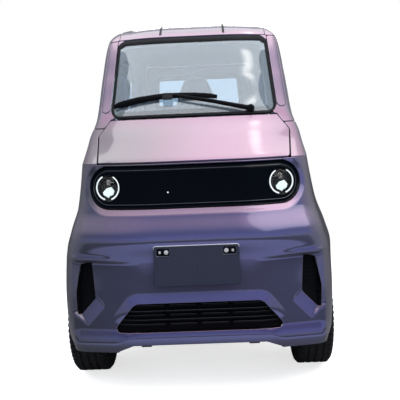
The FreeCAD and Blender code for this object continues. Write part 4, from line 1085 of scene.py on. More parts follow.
def build_panels(nose, grid):
    """The painted panels and the black lamp panel: name, body, node replaced, field, surface, thickness."""
    cover_field = seen_from("front", PILLAR_COVER)
    panels = [("bumper_front", "body", ("front_bumper",), bumper_field, nose, 10),
              ("bonnet_skin", "bonnet", ("bonnet",), bonnet_field, grid, 10),
              ("wing_skin_left", "body", ("wing_left",), wing_field, grid, 10),
              ("wing_skin_right", "body", ("wing_right",), flip(wing_field), grid, 10),
              ("pillar_cover_left", "body", (), cover_field, grid, 6),
              ("pillar_cover_right", "body", (), flip(cover_field), grid, 6),
              ("frame_skin_left", "body", ("side_frame_left",), frame_field, grid, 36),
              ("frame_skin_right", "body", ("side_frame_right",), flip(frame_field), grid, 36),
              ("roof_skin", "body", ("roof_panel",), roof_field, grid, 36),
              ("door_skin_left", "door_left", ("door_left",), door_field, grid, 38),
              ("door_skin_right", "door_right", ("door_right",), flip(door_field), grid, 38),
              ("tailgate_skin", "tailgate", ("tailgate",), tailgate_field, grid, 38),
              ("bumper_rear", "body", ("rear_bumper",), rear_bumper_field, grid, 10)]
    for name, body, replaced, field, surface, thick in panels:
        settle(panel(name, surface, field, PAINT, TRIM, thick), body, "paint", *replaced)
    settle(panel("lamp_panel", nose, lamp_panel_field, PIANO, BLACK, 5, 0.8, 1.0), "body", "gloss_black",
           "front_panel")


def build_roof_strips(surface):
    """Two flat black strips along the roof and down its front edge."""
    strips = Shells(BLACK)
    for x in (-150, 150):
        rise = [surface.at("front", x, z, 0.3) for z in np.linspace(1482, 1530, 13)]
        rise = [p for p in rise if p and p[1] < 880]
        path = [surface.at("top", x, s, 0.3) for s in np.linspace(826, 1880, 60)]
        path = rise + [p for p in path if p and (not rise or p[1] > rise[-1][1] + 10)]
        strips.tube(path, 5.5, 0, 10, 0.22, up=(0, -0.35, 0.94))
    settle(strips.piece("roof_strips"), "body", "trim_black")


def build_roof_joints(surface):
    """Strips that close the roof's joints with the side frames from below."""
    joints = Shells(TRIM)
    for sign in (-1, 1):
        path = [surface.at("top", sign * (ROOF_SPLIT_X - 1), s, -38) for s in np.linspace(850, 2150, 80)]
        joints.tube([p for p in path if p], 8.0, 0, 8, 0.25, up=(0, 0, 1))
    settle(joints.piece("roof_joint_strips"), "body", "interior")


def build_seals(surface):
    """Flat rubber strips behind the gaps of the doors and the tailgate."""
    strip = [(-9, -39.5), (9, -39.5), (9, -42.5), (-9, -42.5)]
    for name, view, outline in (("door_seal_left", "left", DOOR), ("door_seal_right", "right", DOOR),
                                ("tailgate_seal", "back", TAILGATE)):
        settle(band(name, surface, view, outline, strip, RUBBER), "body", "trim_black")


def build_windows(grid, surface):
    """Each pane with the rubber seal round it and the black printed edge behind it."""
    frit = [(6, -9.2), (38, -9.2), (38, -9.8), (6, -9.8)]
    for name, body, replaced, outline, view in PANES:
        inset = lambda x, s, z, field=seen_from(view, outline): field(x, s, z) - 0.5
        settle(panel(name, grid, inset, WINDOW, WINDOW, 5, 0.6, 4.0), body, "glass", *replaced)
        top_width = 24 if name == "windscreen_glass" else 12
        width = lambda line, w=top_width: 12 + (w - 12) * ease((line[:, 1] - 1425) / 20)
        seal = [(0.3, -7), (0.3, -0.8), (2.0, 0.2), (lambda line: width(line) - 2, -0.6), (width, -2.2),
                (width, -3.9)]
        settle(band(name + "_seal", surface, view, outline, seal, RUBBER), body, "trim_black")
        settle(band(name + "_frit", surface, view, outline, frit, FRIT), body, "gloss_black")


def build_body():
    """All that follows the body's skin; gives back the fine surface of the nose and that of the body."""
    nose, grid = relieved(body_grid(5, 16, 5, BASE_Z, 1000)), relieved(body_grid(9, 15, 9))
    surface = Surface(grid)
    build_panels(nose, grid)
    build_roof_strips(surface)
    build_seals(surface)
    build_roof_joints(surface)
    build_windows(grid, surface)
    return nose, grid


nose, body = build_body()


# ---------------------------------------------------------------- lamps, grilles, plate and wiper
def lamp_frame(sign):
    """Placing function of a headlamp: across, up and depth behind the body skin, which slants at the lamp."""
    x0, reach = sign * LAMP_X, 40.0
    s0 = skin_s(nose, x0, LAMP_Z)
    slope_x = (skin_s(nose, x0 + reach, LAMP_Z) - skin_s(nose, x0 - reach, LAMP_Z)) / (2 * reach)
    slope_z = (skin_s(nose, x0, LAMP_Z + reach) - skin_s(nose, x0, LAMP_Z - reach)) / (2 * reach)
    return lambda u, v, depth: (x0 + u, s0 + slope_x * u + slope_z * v + depth, LAMP_Z + v)


def headlamp(side, sign):
    """A round lamp: bezel, black can, two light arcs, the beam's lens with its fittings, and a glass dome."""
    at = lamp_frame(sign)
    lamp = Shells(PIANO, GLOW, BEAM, LENS, BLACK)
    lamp.turned([(50.8, 9), (50.8, 1.0), (50.3, 0.0), (49.8, 0.4), (49.3, 2.4), (49.2, 9)], at)
    lamp.turned([(49.2, 9), (48.6, 22), (42.0, 30), (0.5, 30), (0.5, LAMP_DEPTH), (46.0, LAMP_DEPTH - 12),
                 (50.4, 30), (50.4, 9)], at, 4)
    for first, last in ((-70, 61), (119, 254)):
        path = [at(u, v, 10.0) for u, v in circle(LIGHT_RING_R, 40, first, last)]
        lamp.tube(path, LIGHT_RING_HALF_W, 1, 12)
    beam = np.array([(13, 1), (25, -14), (20, -28), (5, -34), (2, -40), (-7, -35), (-19, -29), (-22, -19),
                     (-7, -4)])
    rings = [(beam, 29.5), (beam, 18.0), (beam * 0.5 + (1, -9), 13.0)]
    lamp.loft([np.array([at(u, v, depth) for u, v in ring]) for ring, depth in rings], 2)
    lamp.slab(box_outline(-3 * sign, 19, 18, 22, 3), 17, 29.5, 2.0, 3, at)
    for u, radius in ((-12 * sign, 7.5), (-22 * sign, 5.5)):
        lamp.slab(circle(radius, 24) + (u, 20), 16, 29.5, 2.5, 0, at)
        lamp.slab(circle(radius * 0.45, 16) + (u, 20), 14.8, 16.5, 0.8, 3, at)
    settle(lamp.piece("headlamp_" + side), "body", "lamp_glass")

    dome = Shells(DOME)
    drop = lambda r: (LAMP_DOME_R - math.sqrt(LAMP_DOME_R ** 2 - r * r)) * DOME_FLATNESS
    outer = [(r, drop(r) - LAMP_PROUD) for r in np.linspace(0.5, 49.0, 12)]
    inner = [(r, depth + DOME_WALL) for r, depth in outer[::-1]]
    dome.turned(outer + inner, at)
    return settle(dome.piece("headlamp_glass_" + side), "body", "lamp_glass")


def on_nose(x, z, depth):
    """Point at a depth behind the skin of the nose."""
    return x, skin_s(nose, x, z) + depth, z


def build_lamps():
    """Both headlamps; the node that stood for both is hidden."""
    for side, sign in SIDES:
        glass = headlamp(side, sign)
    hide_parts("headlamps")


def build_panel_line():
    """Thin pale line round the lamp panel, broken at the lamps, that marks the panel's border with a painted
    highlight; and a small sensor that glows as a painted highlight, though it is no lamp.
    """
    line = Shells(EDGE_HIGHLIGHT, GLOW)
    round_lamp = lambda p: math.hypot(abs(p[0]) - LAMP_X, p[1] - LAMP_Z) <= LAMP_R + 1.5
    ring = [p for p in divided(offset(rounded(PILL), 16.5), 16) if not round_lamp(p)]
    runs = [[]]
    for p in ring + ring[:1]:
        if runs[-1] and np.linalg.norm(p - runs[-1][-1]) > 30:
            runs.append([])
        runs[-1].append(p)
    for run in runs:
        if len(run) > 2:
            line.tube([on_nose(x, z, 0.6) for x, z in run], 1.1, 0, 8)
    # Painted highlight: the small sensor glows with the lamps' white, though it is no lamp.
    line.slab(circle(2.8, 20) + (-100, 800), 0.2, 3.0, 0.6, 1, on_nose)
    settle(line.piece("painted_edge_highlight"), "body", "gloss_black")


def build_plate():
    """Blank number plate with two slots and their screws."""
    plate = Shells(PLATE, BLACK, SCREW)
    slot_x, slot_w, slot_h = PLATE_SLOT
    outline = box_outline(0, PLATE_Z, PLATE_W, PLATE_H, 9, 6)
    slots = [box_outline(sign * slot_x, PLATE_HOLE_Z, slot_w, slot_h, 5) for sign in (-1, 1)]
    plate.holed([outline] + slots, -PLATE_T, 0.2, 2.2)
    for sign, slot in zip((-1, 1), slots):
        plate.slab(offset(slot, -1.5), -0.9, 0.4, 0.3, 1)
        plate.slab(circle(8.5, 28) + (sign * PLATE_HOLE_PITCH / 2, PLATE_HOLE_Z), -2.9, -0.5, 1.6, 2)
        plate.slab(box_outline(sign * 136, PLATE_HOLE_Z, 8, 10, 1.5), -1.6, -0.5, 0.5, 2)
        plate.slab(box_outline(sign * slot_x, PLATE_HOLE_Z - 19, 40, 1.6, 0.7), -PLATE_T, -2.4, 0.2, 2)
    plate.slab(circle(2.2, 16) + (2, 528), -PLATE_T, -2.6, 0.2, 1)
    settle(plate.piece("number_plate_blank"), "body", "plate", "number_plate")


def build_plate_edge_highlight():
    """Painted highlight: a bright strip along the number plate's upper edge, where the light catches it."""
    left, top = -PLATE_W / 2, PLATE_Z + PLATE_H / 2
    path = [(left + 0.9, top - 12), (left + 1.2, top - 6), (left + 6, top - 1.3)]
    path += [(0, top - 1.3)] + [(-x, z) for x, z in path[::-1]]
    edge = Shells(SCREW)
    edge.tube([(x, -1.2, z) for x, z in path], 1.8, 0, 10)
    settle(edge.piece("plate_top_edge_highlight"), "body", "plate")


def grille_half_width(z):
    """Half the width of the lower grille at a height, between its slanted ends."""
    return 334 - (z - 270) * 0.8


def build_grille_backing():
    """Dark backing of the three intakes."""
    backing = lambda x, s, z: np.where(s < 330, np.maximum(depth_in(LOWER_GRILLE, x, z) + 9,
                                                           depth_in(SIDE_GRILLE, np.abs(x), z) + 9), -FAR)
    settle(panel("grille_backing", body_grid(9, 16, 9, 240, 600), backing, BLACK, BLACK, 3, 0.5, GRILLE_SUNK),
           "body", "trim_black", "grilles")


def build_louvres():
    """The bars across the lower grille and the two side grilles."""
    # The thin lighter bars, kind 1, are a painted highlight along the top front edge of each louvre.
    louvres = Shells(BLACK, EDGE_HIGHLIGHT)

    def bar(xs, zs, depth, radius, kind, steps, flat=1.0):
        path = [on_nose(x, z, depth) for x, z in np.broadcast(xs, zs)]
        louvres.tube(path, radius, kind, steps, flat)

    for z in (350, 314):
        half = grille_half_width(z) + 6
        bar(np.linspace(-half, half, 30), z, 15, 4.2, 0, 10, 1.6)
        bar(np.linspace(-half + 8, half - 8, 30), z + 3.2, 10.5, 0.8, 1, 6)
    for z in (370, 332, 294):
        half = grille_half_width(z) - 6
        for first, last in ((-half, -127), (-115, -6), (6, 115), (127, half)):
            bar(np.linspace(first, last, 12), z, 19, 5.5, 0, 10, 1.3)
            bar(np.linspace(first + 5, last - 5, 12), z + 4.6, 14.5, 0.7, 1, 6)
    for x in (-121, 0, 121):
        bar(x, np.linspace(276, 380, 8), 20, 3.5, 0, 8, 1.5)
    for sign in (-1, 1):
        for z in range(350, 536, 15):
            across = [x for x in np.linspace(396, 478, 42) if depth_in(SIDE_GRILLE, x, z) > -5]
            if len(across) > 3:
                bar(sign * np.array(across), z, 19, 1.6, 0, 6, 2.0)
        for x in (408, 424, 440, 456):
            upright = [z for z in np.linspace(330, 545, 44) if depth_in(SIDE_GRILLE, x, z) > -5]
            bar(sign * x, upright, 21, 1.6, 0, 6, 2.0)
    settle(louvres.piece("grille_louvres"), "body", "trim_black")


def along_glass(points, lift, steps):
    """Points along (x, z) lines, lifted ahead of the windscreen."""
    made = []
    for (x0, z0), (x1, z1) in zip(points, points[1:]):
        made += [(x0 + (x1 - x0) * k / steps, z0 + (z1 - z0) * k / steps) for k in range(steps)]
    made.append(points[-1])
    return np.array([(x, skin_s(body, x, z) - lift, z) for x, z in made])


def build_wiper():
    """Arm, hub, blade and its rubber lip on the windscreen."""
    wiper = Shells(BLACK, RUBBER)
    arm = along_glass(WIPER, 16, 10)
    arm[0:3, 1] += (4, 2, 0)
    wiper.tube(arm, np.linspace(10.5, 6.5, len(arm)), 0, 14, 0.6)
    hub = along_glass(WIPER[:2], 14, 10)[0]
    wiper.lathe([(11, -10), (16, -8), (17, 0), (17, 10), (12, 14)], hub, 1, 0, 32)
    beam = along_glass(BLADE, 11, 6)
    share = np.linspace(0, 1, len(beam))
    ends = np.minimum(1, 0.5 + 8 * np.minimum(share, share[::-1]))
    wiper.tube(beam, np.linspace(15.5, 10.0, len(beam)) * ends, 0, 12, 0.5)
    lip = along_glass([(x, z - 8) for x, z in BLADE], 5, 6)
    wiper.tube(lip, 3.2, 1, 8, 1.5)
    wiper.slab(box_outline(WIPER[2][0], WIPER[2][1] - 12, 46, 26, 8), 0, 16, 3, 0,
               lambda x, z, depth: (x, skin_s(body, x, z) - 22 + depth, z))
    settle(wiper.piece("wiper_arm"), "body", "trim_black", "wiper")


# ---------------------------------------------------------------- repeats
def repeat_group():
    """Geometry nodes: a shape repeated along a step, turned a little further each time."""
    tree = bpy.data.node_groups.new("repeat", "GeometryNodeTree")
    for label, kind in (("Shape", "NodeSocketGeometry"), ("Count", "NodeSocketInt"),
                        ("Step", "NodeSocketVector"), ("Turn", "NodeSocketVector"),
                        ("Finish", "NodeSocketMaterial")):
        tree.interface.new_socket(name=label, in_out="INPUT", socket_type=kind)
    tree.interface.new_socket(name="Shape", in_out="OUTPUT", socket_type="NodeSocketGeometry")
    given, out = tree.nodes.new("NodeGroupInput"), tree.nodes.new("NodeGroupOutput")
    line = tree.nodes.new("GeometryNodeMeshLine")
    line.mode = "OFFSET"
    index, scale = tree.nodes.new("GeometryNodeInputIndex"), tree.nodes.new("ShaderNodeVectorMath")
    scale.operation = "SCALE"
    copies = tree.nodes.new("GeometryNodeInstanceOnPoints")
    real = tree.nodes.new("GeometryNodeRealizeInstances")
    finish_node = tree.nodes.new("GeometryNodeSetMaterial")
    for start, end in ((given.outputs["Count"], line.inputs["Count"]),
                       (given.outputs["Step"], line.inputs["Offset"]),
                       (line.outputs["Mesh"], copies.inputs["Points"]),
                       (given.outputs["Shape"], copies.inputs["Instance"]),
                       (given.outputs["Turn"], scale.inputs[0]), (index.outputs[0], scale.inputs["Scale"]),
                       (scale.outputs[0], copies.inputs["Rotation"]),
                       (copies.outputs[0], real.inputs[0]), (real.outputs[0], finish_node.inputs["Geometry"]),
                       (given.outputs["Finish"], finish_node.inputs["Material"]),
                       (finish_node.outputs[0], out.inputs[0])):
        tree.links.new(start, end)
    return tree


REPEAT = repeat_group()


def baked(piece):
    """A mesh of the object as its modifiers leave it."""
    return bpy.data.meshes.new_from_object(piece.evaluated_get(bpy.context.evaluated_depsgraph_get()))


def repeated(shape, name, count, step, turn, material, centre):
    """The shape repeated by geometry nodes, made a plain mesh and moved to its centre (metres)."""
    modifier = shape.modifiers.new("repeat", "NODES")
    modifier.node_group = REPEAT
    values = {"Count": count, "Step": step, "Turn": turn, "Finish": material}
    for item in REPEAT.interface.items_tree:
        if item.item_type == "SOCKET" and item.in_out == "INPUT" and item.name in values:
            modifier[item.identifier] = values[item.name]
    bpy.context.view_layer.update()
    mesh = baked(shape)
    mesh.transform(Matrix.Translation(centre))
    bpy.data.objects.remove(shape)
    return in_scene(name, mesh)


# ---------------------------------------------------------------- wheels
TREAD_COUNT = 58
GROOVES = (-30.0, 0.0, 30.0)


def tyre_profile():
    """Closed section of the tyre: (radius, across)."""
    tread = []
    for middle in GROOVES:
        tread += [(TYRE_R - 1.2, middle - 5), (TYRE_R - 7, middle - 4), (TYRE_R - 7, middle + 4),
                  (TYRE_R - 1.2, middle + 5)]
    outer = [(RIM_R + 4, -58), (RIM_R + 10, -66), (RIM_R + 30, -73), (RIM_R + 52, -74.5), (RIM_R + 56, -73),
             (RIM_R + 74, -70), (TYRE_R - 11, -62), (TYRE_R - 10, -50), (TYRE_R - 1.2, -46)]
    inner = [(RIM_R + 8, 50), (RIM_R + 60, 62), (RIM_R + 78, 50), (RIM_R + 78, -50), (RIM_R + 60, -62),
             (RIM_R + 8, -50)]
    return outer + tread + [(r, -a) for r, a in outer[::-1]] + inner


def tread_block():
    """One pair of shoulder lugs at the top of a wheel whose hub is the origin, in metres."""
    points, faces = [], []
    for sign, lag in ((1, -0.5), (-1, 0.5)):
        base = len(points)
        slope = math.pi / TREAD_COUNT * lag
        for across, radius, half in ((46, TYRE_R - 1.0, 7.6), (60, TYRE_R - 2.2, 7.6), (71, TYRE_R - 14, 6.8),
                                     (73.5, TYRE_R - 27, 5.0)):
            for top in (0, 13):
                for way in (-1, 1):
                    angle = way * half / TYRE_R + slope
                    r = radius - top
                    points.append((sign * across * MM, r * math.sin(angle) * MM, r * math.cos(angle) * MM))
        for k in range(3):
            a, b = base + 4 * k, base + 4 * k + 4
            faces += [(a, a + 1, b + 1, b), (a + 3, a + 2, b + 2, b + 3), (a + 1, a + 3, b + 3, b + 1),
                      (a + 2, a, b, b + 2)]
        faces += [(base, base + 2, base + 3, base + 1), (base + 12, base + 13, base + 15, base + 14)]
    mesh = bpy.data.meshes.new("lug")
    mesh.from_pydata(points, [], faces)
    turn_outwards(mesh)
    return in_scene("lug", mesh)


def build_wheels():
    """Tyres with grooves all round and lugs on both shoulders."""
    for end, axle in (("front", FRONT_AXLE_S), ("rear", REAR_AXLE_S)):
        for side, sign in SIDES:
            body_name = f"wheel_{end}_{side}"
            low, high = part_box(f"tyre_{end}_{side}")
            centre = (low + high) / 2
            tyre = Shells(TYRE)
            tyre.lathe(tyre_profile(), (centre.x / MM, centre.y / MM - NOSE_Y, centre.z / MM), 0, 0, 96, True)
            settle(tyre.piece(f"tyre_skin_{end}_{side}", 28), body_name, "tyre", f"tyre_{end}_{side}")
            lugs = repeated(tread_block(), f"tread_{end}_{side}", TREAD_COUNT, (0, 0, 0),
                            (2 * math.pi / TREAD_COUNT, 0, 0), TYRE, centre)
            settle(lugs, body_name, "tyre")


# ---------------------------------------------------------------- bonnet hinges
HINGE_X, HINGE_S, HINGE_Z = 290.0, 500.0, 1085.0
HINGE_FOOT_S = 386.0             # where an arm meets the bonnet from below


def build_hinges():
    """Swan-neck arms between the bonnet's inner side and its hinge pins."""
    arms = Shells(STEEL)
    levels = np.arange(930.0, 1090.0, 4.0)
    for sign in (-1, 1):
        x, s, z = sign * HINGE_X, HINGE_S, HINGE_Z
        stations = [skin_s(body, x, level) for level in levels]
        under_skin = float(np.interp(HINGE_FOOT_S, stations, levels)) - 15
        path = rounded([(s - 6, z + 3, 0), (s - 6, z - 62, 9), (s - 108, z - 62, 9),
                        (s - 108, under_skin, 0), (s - 118, under_skin, 0), (s - 118, z - 73, 12),
                        (s + 5, z - 73, 12), (s + 5, z + 3, 0)], 6)
        arms.loft([np.array([(x + off, p[0], p[1]) for p in path]) for off in (-6.5, 6.5)])
        arms.lathe([(4, -7), (8.5, -7), (8.5, 7), (4, 7)], (x, s, z), 0, 0, 24, True)
        arms.slab(box_outline(x, 0, 30, 24, 5), 0, 4, 1, 0,
                  lambda u, v, d: (u, s - 112 + v, under_skin - 2 + d))
    settle(arms.piece("bonnet_hinge_arms"), "bonnet", "underbody")


# ---------------------------------------------------------------- seats
CLOTH_FRAMES = 20
PUFF_CAP, SHRINK, GROOVE = 0.016, 0.006, 0.009   # most swelling, start below the solid, depth of a seam
VOXEL, SEAM_REACH, TIED_REACH = 0.007, 0.007, 0.0065
AWAY = 9.0                       # farther in metres than any seam


def seam_distance(p, seams):
    """Distance in metres of each point from the nearest seam: (axis, place, cross axis, low, high)."""
    near = np.full(len(p), AWAY)
    for axis, spot, cross, low, high in seams:
        off = np.abs(p[:, axis] - spot)
        beyond = np.maximum(0, np.maximum(low - p[:, cross], p[:, cross] - high))
        near = np.minimum(near, np.hypot(off, beyond))
    return near


def upholster(node_name, name, seams, facing_axis, facing_sign, body_name="body"):
    """A stuffed cushion grown from its CAD solid, tied down along its seams and swollen by air pressure.
    It is sewn on the side that faces facing_sign along facing_axis."""
    piece = in_scene(name, nodes[node_name].data.copy())
    remesh = piece.modifiers.new("remesh", "REMESH")
    remesh.mode, remesh.voxel_size = "VOXEL", VOXEL
    mesh = baked(piece)
    piece.modifiers.clear()
    piece.data = mesh
    count = len(mesh.vertices)
    p, n = np.empty(count * 3), np.empty(count * 3)
    mesh.vertices.foreach_get("co", p)
    mesh.vertex_normals.foreach_get("vector", n)
    p, n = p.reshape(-1, 3), n.reshape(-1, 3)
    near = np.where(n[:, facing_axis] * facing_sign > 0.3, seam_distance(p, seams), AWAY)
    depth = GROOVE * np.exp(-(near / SEAM_REACH) ** 2)
    start = p - n * (SHRINK + depth)[:, None]
    mesh.vertices.foreach_set("co", start.ravel())
    tied = piece.vertex_groups.new(name="tied")
    under = n[:, facing_axis] * facing_sign < -0.6
    tied.add([int(i) for i in np.flatnonzero((near < TIED_REACH) | under)], 1.0, "REPLACE")
    mesh.update()
    cloth_modifier = piece.modifiers.new("cloth", "CLOTH")
    settings = cloth_modifier.settings
    settings.quality, settings.mass, settings.air_damping = 4, 0.3, 2.0
    settings.tension_stiffness = settings.compression_stiffness = 12.0
    settings.shear_stiffness, settings.bending_stiffness = 5.0, 1.5
    settings.use_pressure, settings.uniform_pressure_force = True, 4.0
    settings.vertex_group_mass = "tied"
    settings.effector_weights.gravity = 0.0
    cloth_modifier.collision_settings.use_collision = False
    cloth_modifier.collision_settings.use_self_collision = False
    cloth_modifier.point_cache.frame_start, cloth_modifier.point_cache.frame_end = 1, CLOTH_FRAMES
    for frame_number in range(1, CLOTH_FRAMES + 1):
        bpy.context.scene.frame_set(frame_number)
    swollen = piece.evaluated_get(bpy.context.evaluated_depsgraph_get()).to_mesh()
    moved = np.empty(count * 3)
    swollen.vertices.foreach_get("co", moved)
    moved = moved.reshape(-1, 3) - start
    length = np.linalg.norm(moved, axis=1, keepdims=True)
    moved *= np.minimum(1, PUFF_CAP / np.maximum(length, 1e-9))
    piece.modifiers.clear()
    bpy.context.scene.frame_set(1)
    mesh.vertices.foreach_set("co", (start + moved).ravel())
    mesh.update()
    mesh.polygons.foreach_set("use_smooth", np.ones(len(mesh.polygons), bool))
    mesh.materials.clear()
    mesh.materials.append(SEAT)
    fine = piece.modifiers.new("fine", "SMOOTH")
    fine.factor, fine.iterations = 0.5, 2
    piece.data = baked(piece)
    piece.modifiers.clear()
    return settle(piece, body_name, "seat", node_name)


def seams_along(cross, low, high, axis, places):
    """Seams of one direction: each at a place on axis, running from low to high along cross."""
    return [(axis, place, cross, low, high) for place in places]


def build_seats():
    """Covers of the driver's seat and of the bench, with sewn channels, in metres."""
    x, y, z = 0, 1, 2
    stations = lambda *places: [(s + NOSE_Y) * MM for s in places]
    thirds = (-0.19, 0.0, 0.19)
    upholster("driver_seat_cushion", "seat_cushion_cover",
              seams_along(y, -AWAY, AWAY, x, (-0.125, 0.125))
              + seams_along(x, -0.125, 0.125, y, stations(875, 950, 1025)), z, 1)
    upholster("driver_seat_back", "seat_back_cover",
              seams_along(z, 0.5, 1.12, x, (-0.11, 0.11))
              + seams_along(x, -0.11, 0.11, z, (0.58, 0.67, 0.76, 0.85, 0.94, 1.03, 1.12)), y, -1)
    upholster("bench_cushion", "bench_cushion_cover",
              seams_along(y, -AWAY, AWAY, x, thirds) + seams_along(x, -AWAY, AWAY, y, stations(1790)), z, 1)
    upholster("bench_back", "bench_back_cover",
              seams_along(z, -AWAY, AWAY, x, thirds) + seams_along(x, -AWAY, AWAY, z, (0.62, 0.86)), y, -1)


def build_handles():
    """Pull handles of the doors: a dark cup with a painted bar across it."""
    surface = Surface(body)
    for side, sign in SIDES:
        spot = lambda u, v, depth, view=side: surface.at(view, HANDLE_S + u, HANDLE_Z + v, -depth)
        handle = Shells(PAINT, BLACK)
        handle.slab(box_outline(0, 0, 152, 38, 18), -1.0, 2.0, 0.8, 1, spot)
        handle.slab(box_outline(0, 3, 138, 17, 8), -13.0, -7.5, 2.4, 0, spot)
        for u in (-58, 58):
            handle.slab(box_outline(u, 3, 17, 12, 5), -8.5, 0.5, 0.8, 0, spot)
        settle(handle.piece("door_handle_" + side), "door_" + side, "paint")


LINER_OUT_X, LINER_INSET, LINER_T = 505.0, 14.0, 2.5  # outer edge, distance inside the skin, thickness


def build_liners():
    """Wheel arch liners: a curved shield over each tyre, closed by an inner wall."""
    surface = Surface(body)
    for end, axle_s, radius, inner in (("front", FRONT_AXLE_S, FRONT_ARCH_R, 258.0),
                                       ("rear", REAR_AXLE_S, REAR_ARCH_R, 332.0)):
        for side, sign in SIDES:
            liner, rings, wall = Shells(UNDER), [], []
            for turn in np.radians(np.linspace(4, 176, 44)):
                at = lambda r: (axle_s + r * math.cos(turn), TYRE_R + r * math.sin(turn))
                skin = surface.at("left", *at(radius))
                outer = min(LINER_OUT_X, (skin[0] if skin else LINER_OUT_X - 10) - LINER_INSET)
                under, over = radius + 2, radius + 2 + LINER_T
                section = [(inner, under), (outer, under), (outer, over), (inner, over)]
                rings.append(np.array([(sign * x, *at(r)) for x, r in section]))
                wall.append(at(radius))
            liner.loft(rings)
            liner.loft([np.array([(sign * x, s, z) for s, z in wall]) for x in (inner, inner + LINER_T)])
            settle(liner.piece("arch_liner_" + end + "_" + side), "body", "underbody")


def build_tail_lamps():
    """Upright red lamps on a black base, with ribs across the lens."""
    surface = Surface(body)
    lamp_field = seen_from("back", TAIL_LAMP)
    for side, sign in SIDES:
        field = lamp_field if sign > 0 else flip(lamp_field)
        rim = lambda x, s, z, f=field: f(x, s, z) + 4
        base = panel("tail_lamp_base_" + side, body_grid(9, 7, 7, 700, 960), rim, BLACK, BLACK, 4, 1.0, -0.4)
        settle(base, "body", "trim_black")
        fine = body_grid(9, 5, 5, 700, 960)
        lens = panel("tail_lamp_lens_" + side, fine, field, RED_LENS, RED_LENS, 6, 1.6, -4.4)
        settle(lens, "body", "tail_lens", *(("tail_lamps",) if sign > 0 else ()))
        ribs = Shells(RED_LENS)
        for z in range(762, 920, 13):
            path = [surface.at("back", sign * x, z, 4.6) for x in np.linspace(447, 474, 9)]
            path = [p for p in path if p]
            if len(path) > 3:
                ribs.tube(path, 1.3, 0, 6)
        settle(ribs.piece("tail_lamp_ribs_" + side), "body", "tail_lens")


build_lamps()
build_panel_line()
build_plate()
build_grille_backing()
build_plate_edge_highlight()
build_louvres()
build_wiper()
build_tail_lamps()
build_handles()
build_liners()
build_wheels()
build_hinges()
build_seats()

# Finish of the nodes that are shown as they are, by the start of their names; the first that fits counts
CARRIED = [("tyre", TYRE), ("rim", RIM_METAL), ("knuckle", STEEL), ("suspension", STEEL),
           ("rear_axle", STEEL), ("chassis", UNDER), ("floor", UNDER), ("cowl", BLACK), ("battery", BATTERY),
           ("dashboard", TRIM), ("steering", LEATHER), ("driver_seat_frame", UNDER), ("driver_seat", SEAT),
           ("bench", SEAT), ("tail_lamps", RED_LENS)]
for name, carried in nodes.items():
    material = next((finish_of for start, finish_of in CARRIED if name.startswith(start)), None)
    for held in carried.material_slots if material else ():
        held.material = material


# ---------------------------------------------------------------- stage
# Each cloud: direction, reach across, along and up, and brightness
CLOUDS = [((0.372, 0.053, 0.928), (0.14, 0.075, 0.3), 5.0),
          ((0.234, 0.541, 0.808), (0.08, 0.06, 0.07), 5.0)]
CLOUD_TINT = (1.0, 0.97, 0.90)
FLOOR_R = 3.6                    # metres
# Each light: name, place, aim, size, watts, colour and whether panels mirror it
LIGHTS = [("key", (2.4, -2.4, 3.8), (0, -0.5, 0.9), (3.6, 2.6), 72, (1.0, 0.95, 0.98), True),
          ("fill", (-3.4, -2.4, 2.4), (0, -0.4, 0.7), (3.0, 2.4), 26, (0.9, 0.94, 1.0), False),
          ("low_front", (0.2, -4.4, 0.9), (0, -1, 0.6), (4.0, 1.8), 34, (0.92, 0.94, 1.0), False),
          ("left", (4.6, 0.6, 2.4), (0, 0.3, 0.7), (3.6, 2.6), 85, (1.0, 1.0, 0.98), False),
          ("right", (-4.6, 0.6, 2.4), (0, 0.3, 0.7), (3.6, 2.6), 75, (0.97, 0.98, 1.0), False),
          ("top", (0, 0.6, 4.4), (0, 0, 1), (4.5, 4.0), 75, (1, 1, 1), True),
          ("back", (0.6, 4.2, 2.6), (0, 0.6, 0.8), (3.0, 2.0), 60, (1, 1, 1), True)]


def build_floor():
    """A pale floor that keeps the shadow and fades into the white."""
    mesh = bpy.data.meshes.new("floor")
    mesh.from_pydata([(x, y, 0) for x, y in circle(FLOOR_R)], [], [tuple(range(72))])
    floor = in_scene("floor", mesh)
    material = bpy.data.materials.new("pale_floor")
    material.use_nodes = True
    tree = material.node_tree
    shader = tree.nodes["Principled BSDF"]
    shader.inputs["Roughness"].default_value = 0.9
    seen = node(tree, "LightPath").outputs["Is Camera Ray"]
    wire(tree, mixed(tree, seen, (0.20, 0.20, 0.21), (0.95, 0.95, 0.95)), shader.inputs["Base Color"])
    shader.inputs["Emission Color"].default_value = (1, 1, 1, 1)
    wire(tree, maths(tree, "MULTIPLY", seen, 0.68), shader.inputs["Emission Strength"])
    away = vectors(tree, "LENGTH", node(tree, "TexCoord").outputs["Object"], output="Value")
    wire(tree, mapped(tree, away, 0.7, 2.2, 1.0, 0.0), shader.inputs["Alpha"])
    mesh.materials.append(material)


def cloudy_sky(tree):
    """Colour of the sky: darker towards the ground, with soft bright clouds that the panels mirror."""
    towards = node(tree, "TexCoord").outputs["Generated"]
    sky = ramp(tree, linear(tree, split(tree, towards)[2], 0.5, 0.5),
               [(0.45, (0.06, 0.065, 0.075)), (0.56, (0.16, 0.17, 0.20)),
                (0.68, (0.24, 0.26, 0.30)), (0.84, (0.85, 0.90, 0.98))])
    for direction, reach, strength in CLOUDS:
        apart = vectors(tree, "DIVIDE", vectors(tree, "SUBTRACT", towards, direction), reach)
        far = vectors(tree, "LENGTH", apart, output="Value")
        bright = mapped(tree, far, 1.0, 0.0, 0.0, strength, "SMOOTHERSTEP")
        sky = vectors(tree, "MULTIPLY_ADD", CLOUD_TINT, bright, sky)
    return sky


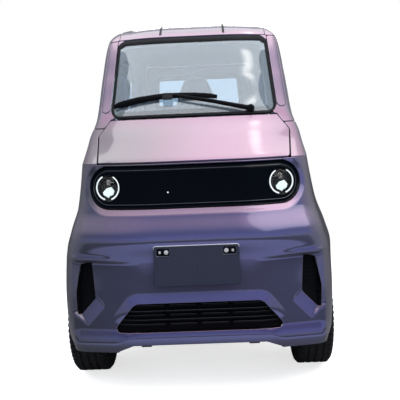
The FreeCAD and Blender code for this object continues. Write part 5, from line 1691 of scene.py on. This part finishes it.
def build_world():
    """White backdrop to the eye, and a cloudy sky to everything that is lit by it or mirrors it."""
    world = bpy.data.worlds.new("studio")
    bpy.context.scene.world = world
    world.use_nodes = True
    tree = world.node_tree
    tree.nodes.clear()
    out, path = node(tree, "OutputWorld"), node(tree, "LightPath")
    fill, backdrop, blend = node(tree, "Background"), node(tree, "Background"), node(tree, "MixShader")
    wire(tree, cloudy_sky(tree), fill.inputs["Color"])
    fill.inputs["Strength"].default_value = 0.75
    backdrop.inputs["Color"].default_value = (1, 1, 1, 1)
    backdrop.inputs["Strength"].default_value = 1.0
    direct = maths(tree, "MAXIMUM", path.outputs["Is Camera Ray"], path.outputs["Is Transmission Ray"])
    for source, socket in zip((direct, fill.outputs[0], backdrop.outputs[0]), blend.inputs):
        wire(tree, source, socket)
    wire(tree, blend.outputs[0], out.inputs["Surface"])


def area_light(name, spot, aim, size, watts, colour, mirrored_in):
    """A soft rectangular lamp that looks from its spot to its aim."""
    data = bpy.data.lights.new(name, "AREA")
    data.shape = "RECTANGLE"
    data.size, data.size_y = size
    data.energy = watts
    data.color = colour
    lamp = in_scene(name, data)
    lamp.location = spot
    lamp.visible_glossy = mirrored_in
    lamp.rotation_euler = (Vector(aim) - Vector(spot)).to_track_quat("-Z", "Y").to_euler()


def build_camera():
    """Camera a little to the car's left of the nose, at chest height, turned slightly down and rolled."""
    pitch, yaw, roll = 0.115, -0.020, 0.042
    right = Vector((math.cos(yaw), -math.sin(yaw), 0))
    ahead = Vector((math.sin(yaw) * math.cos(pitch), math.cos(yaw) * math.cos(pitch), -math.sin(pitch)))
    up = right.cross(ahead)
    x_axis = right * math.cos(roll) - up * math.sin(roll)
    y_axis = right * math.sin(roll) + up * math.cos(roll)
    data = bpy.data.cameras.new("camera")
    data.lens = 57.73
    camera = in_scene("camera", data)
    turn = Matrix((x_axis, y_axis, -ahead)).transposed()
    camera.matrix_world = Matrix.Translation((0.069, -3.516, 1.045)) @ turn.to_4x4()
    bpy.context.scene.camera = camera


build_floor()
build_world()
for light in LIGHTS:
    area_light(*light)
build_camera()
bpy.context.scene.view_settings.view_transform = "Standard"
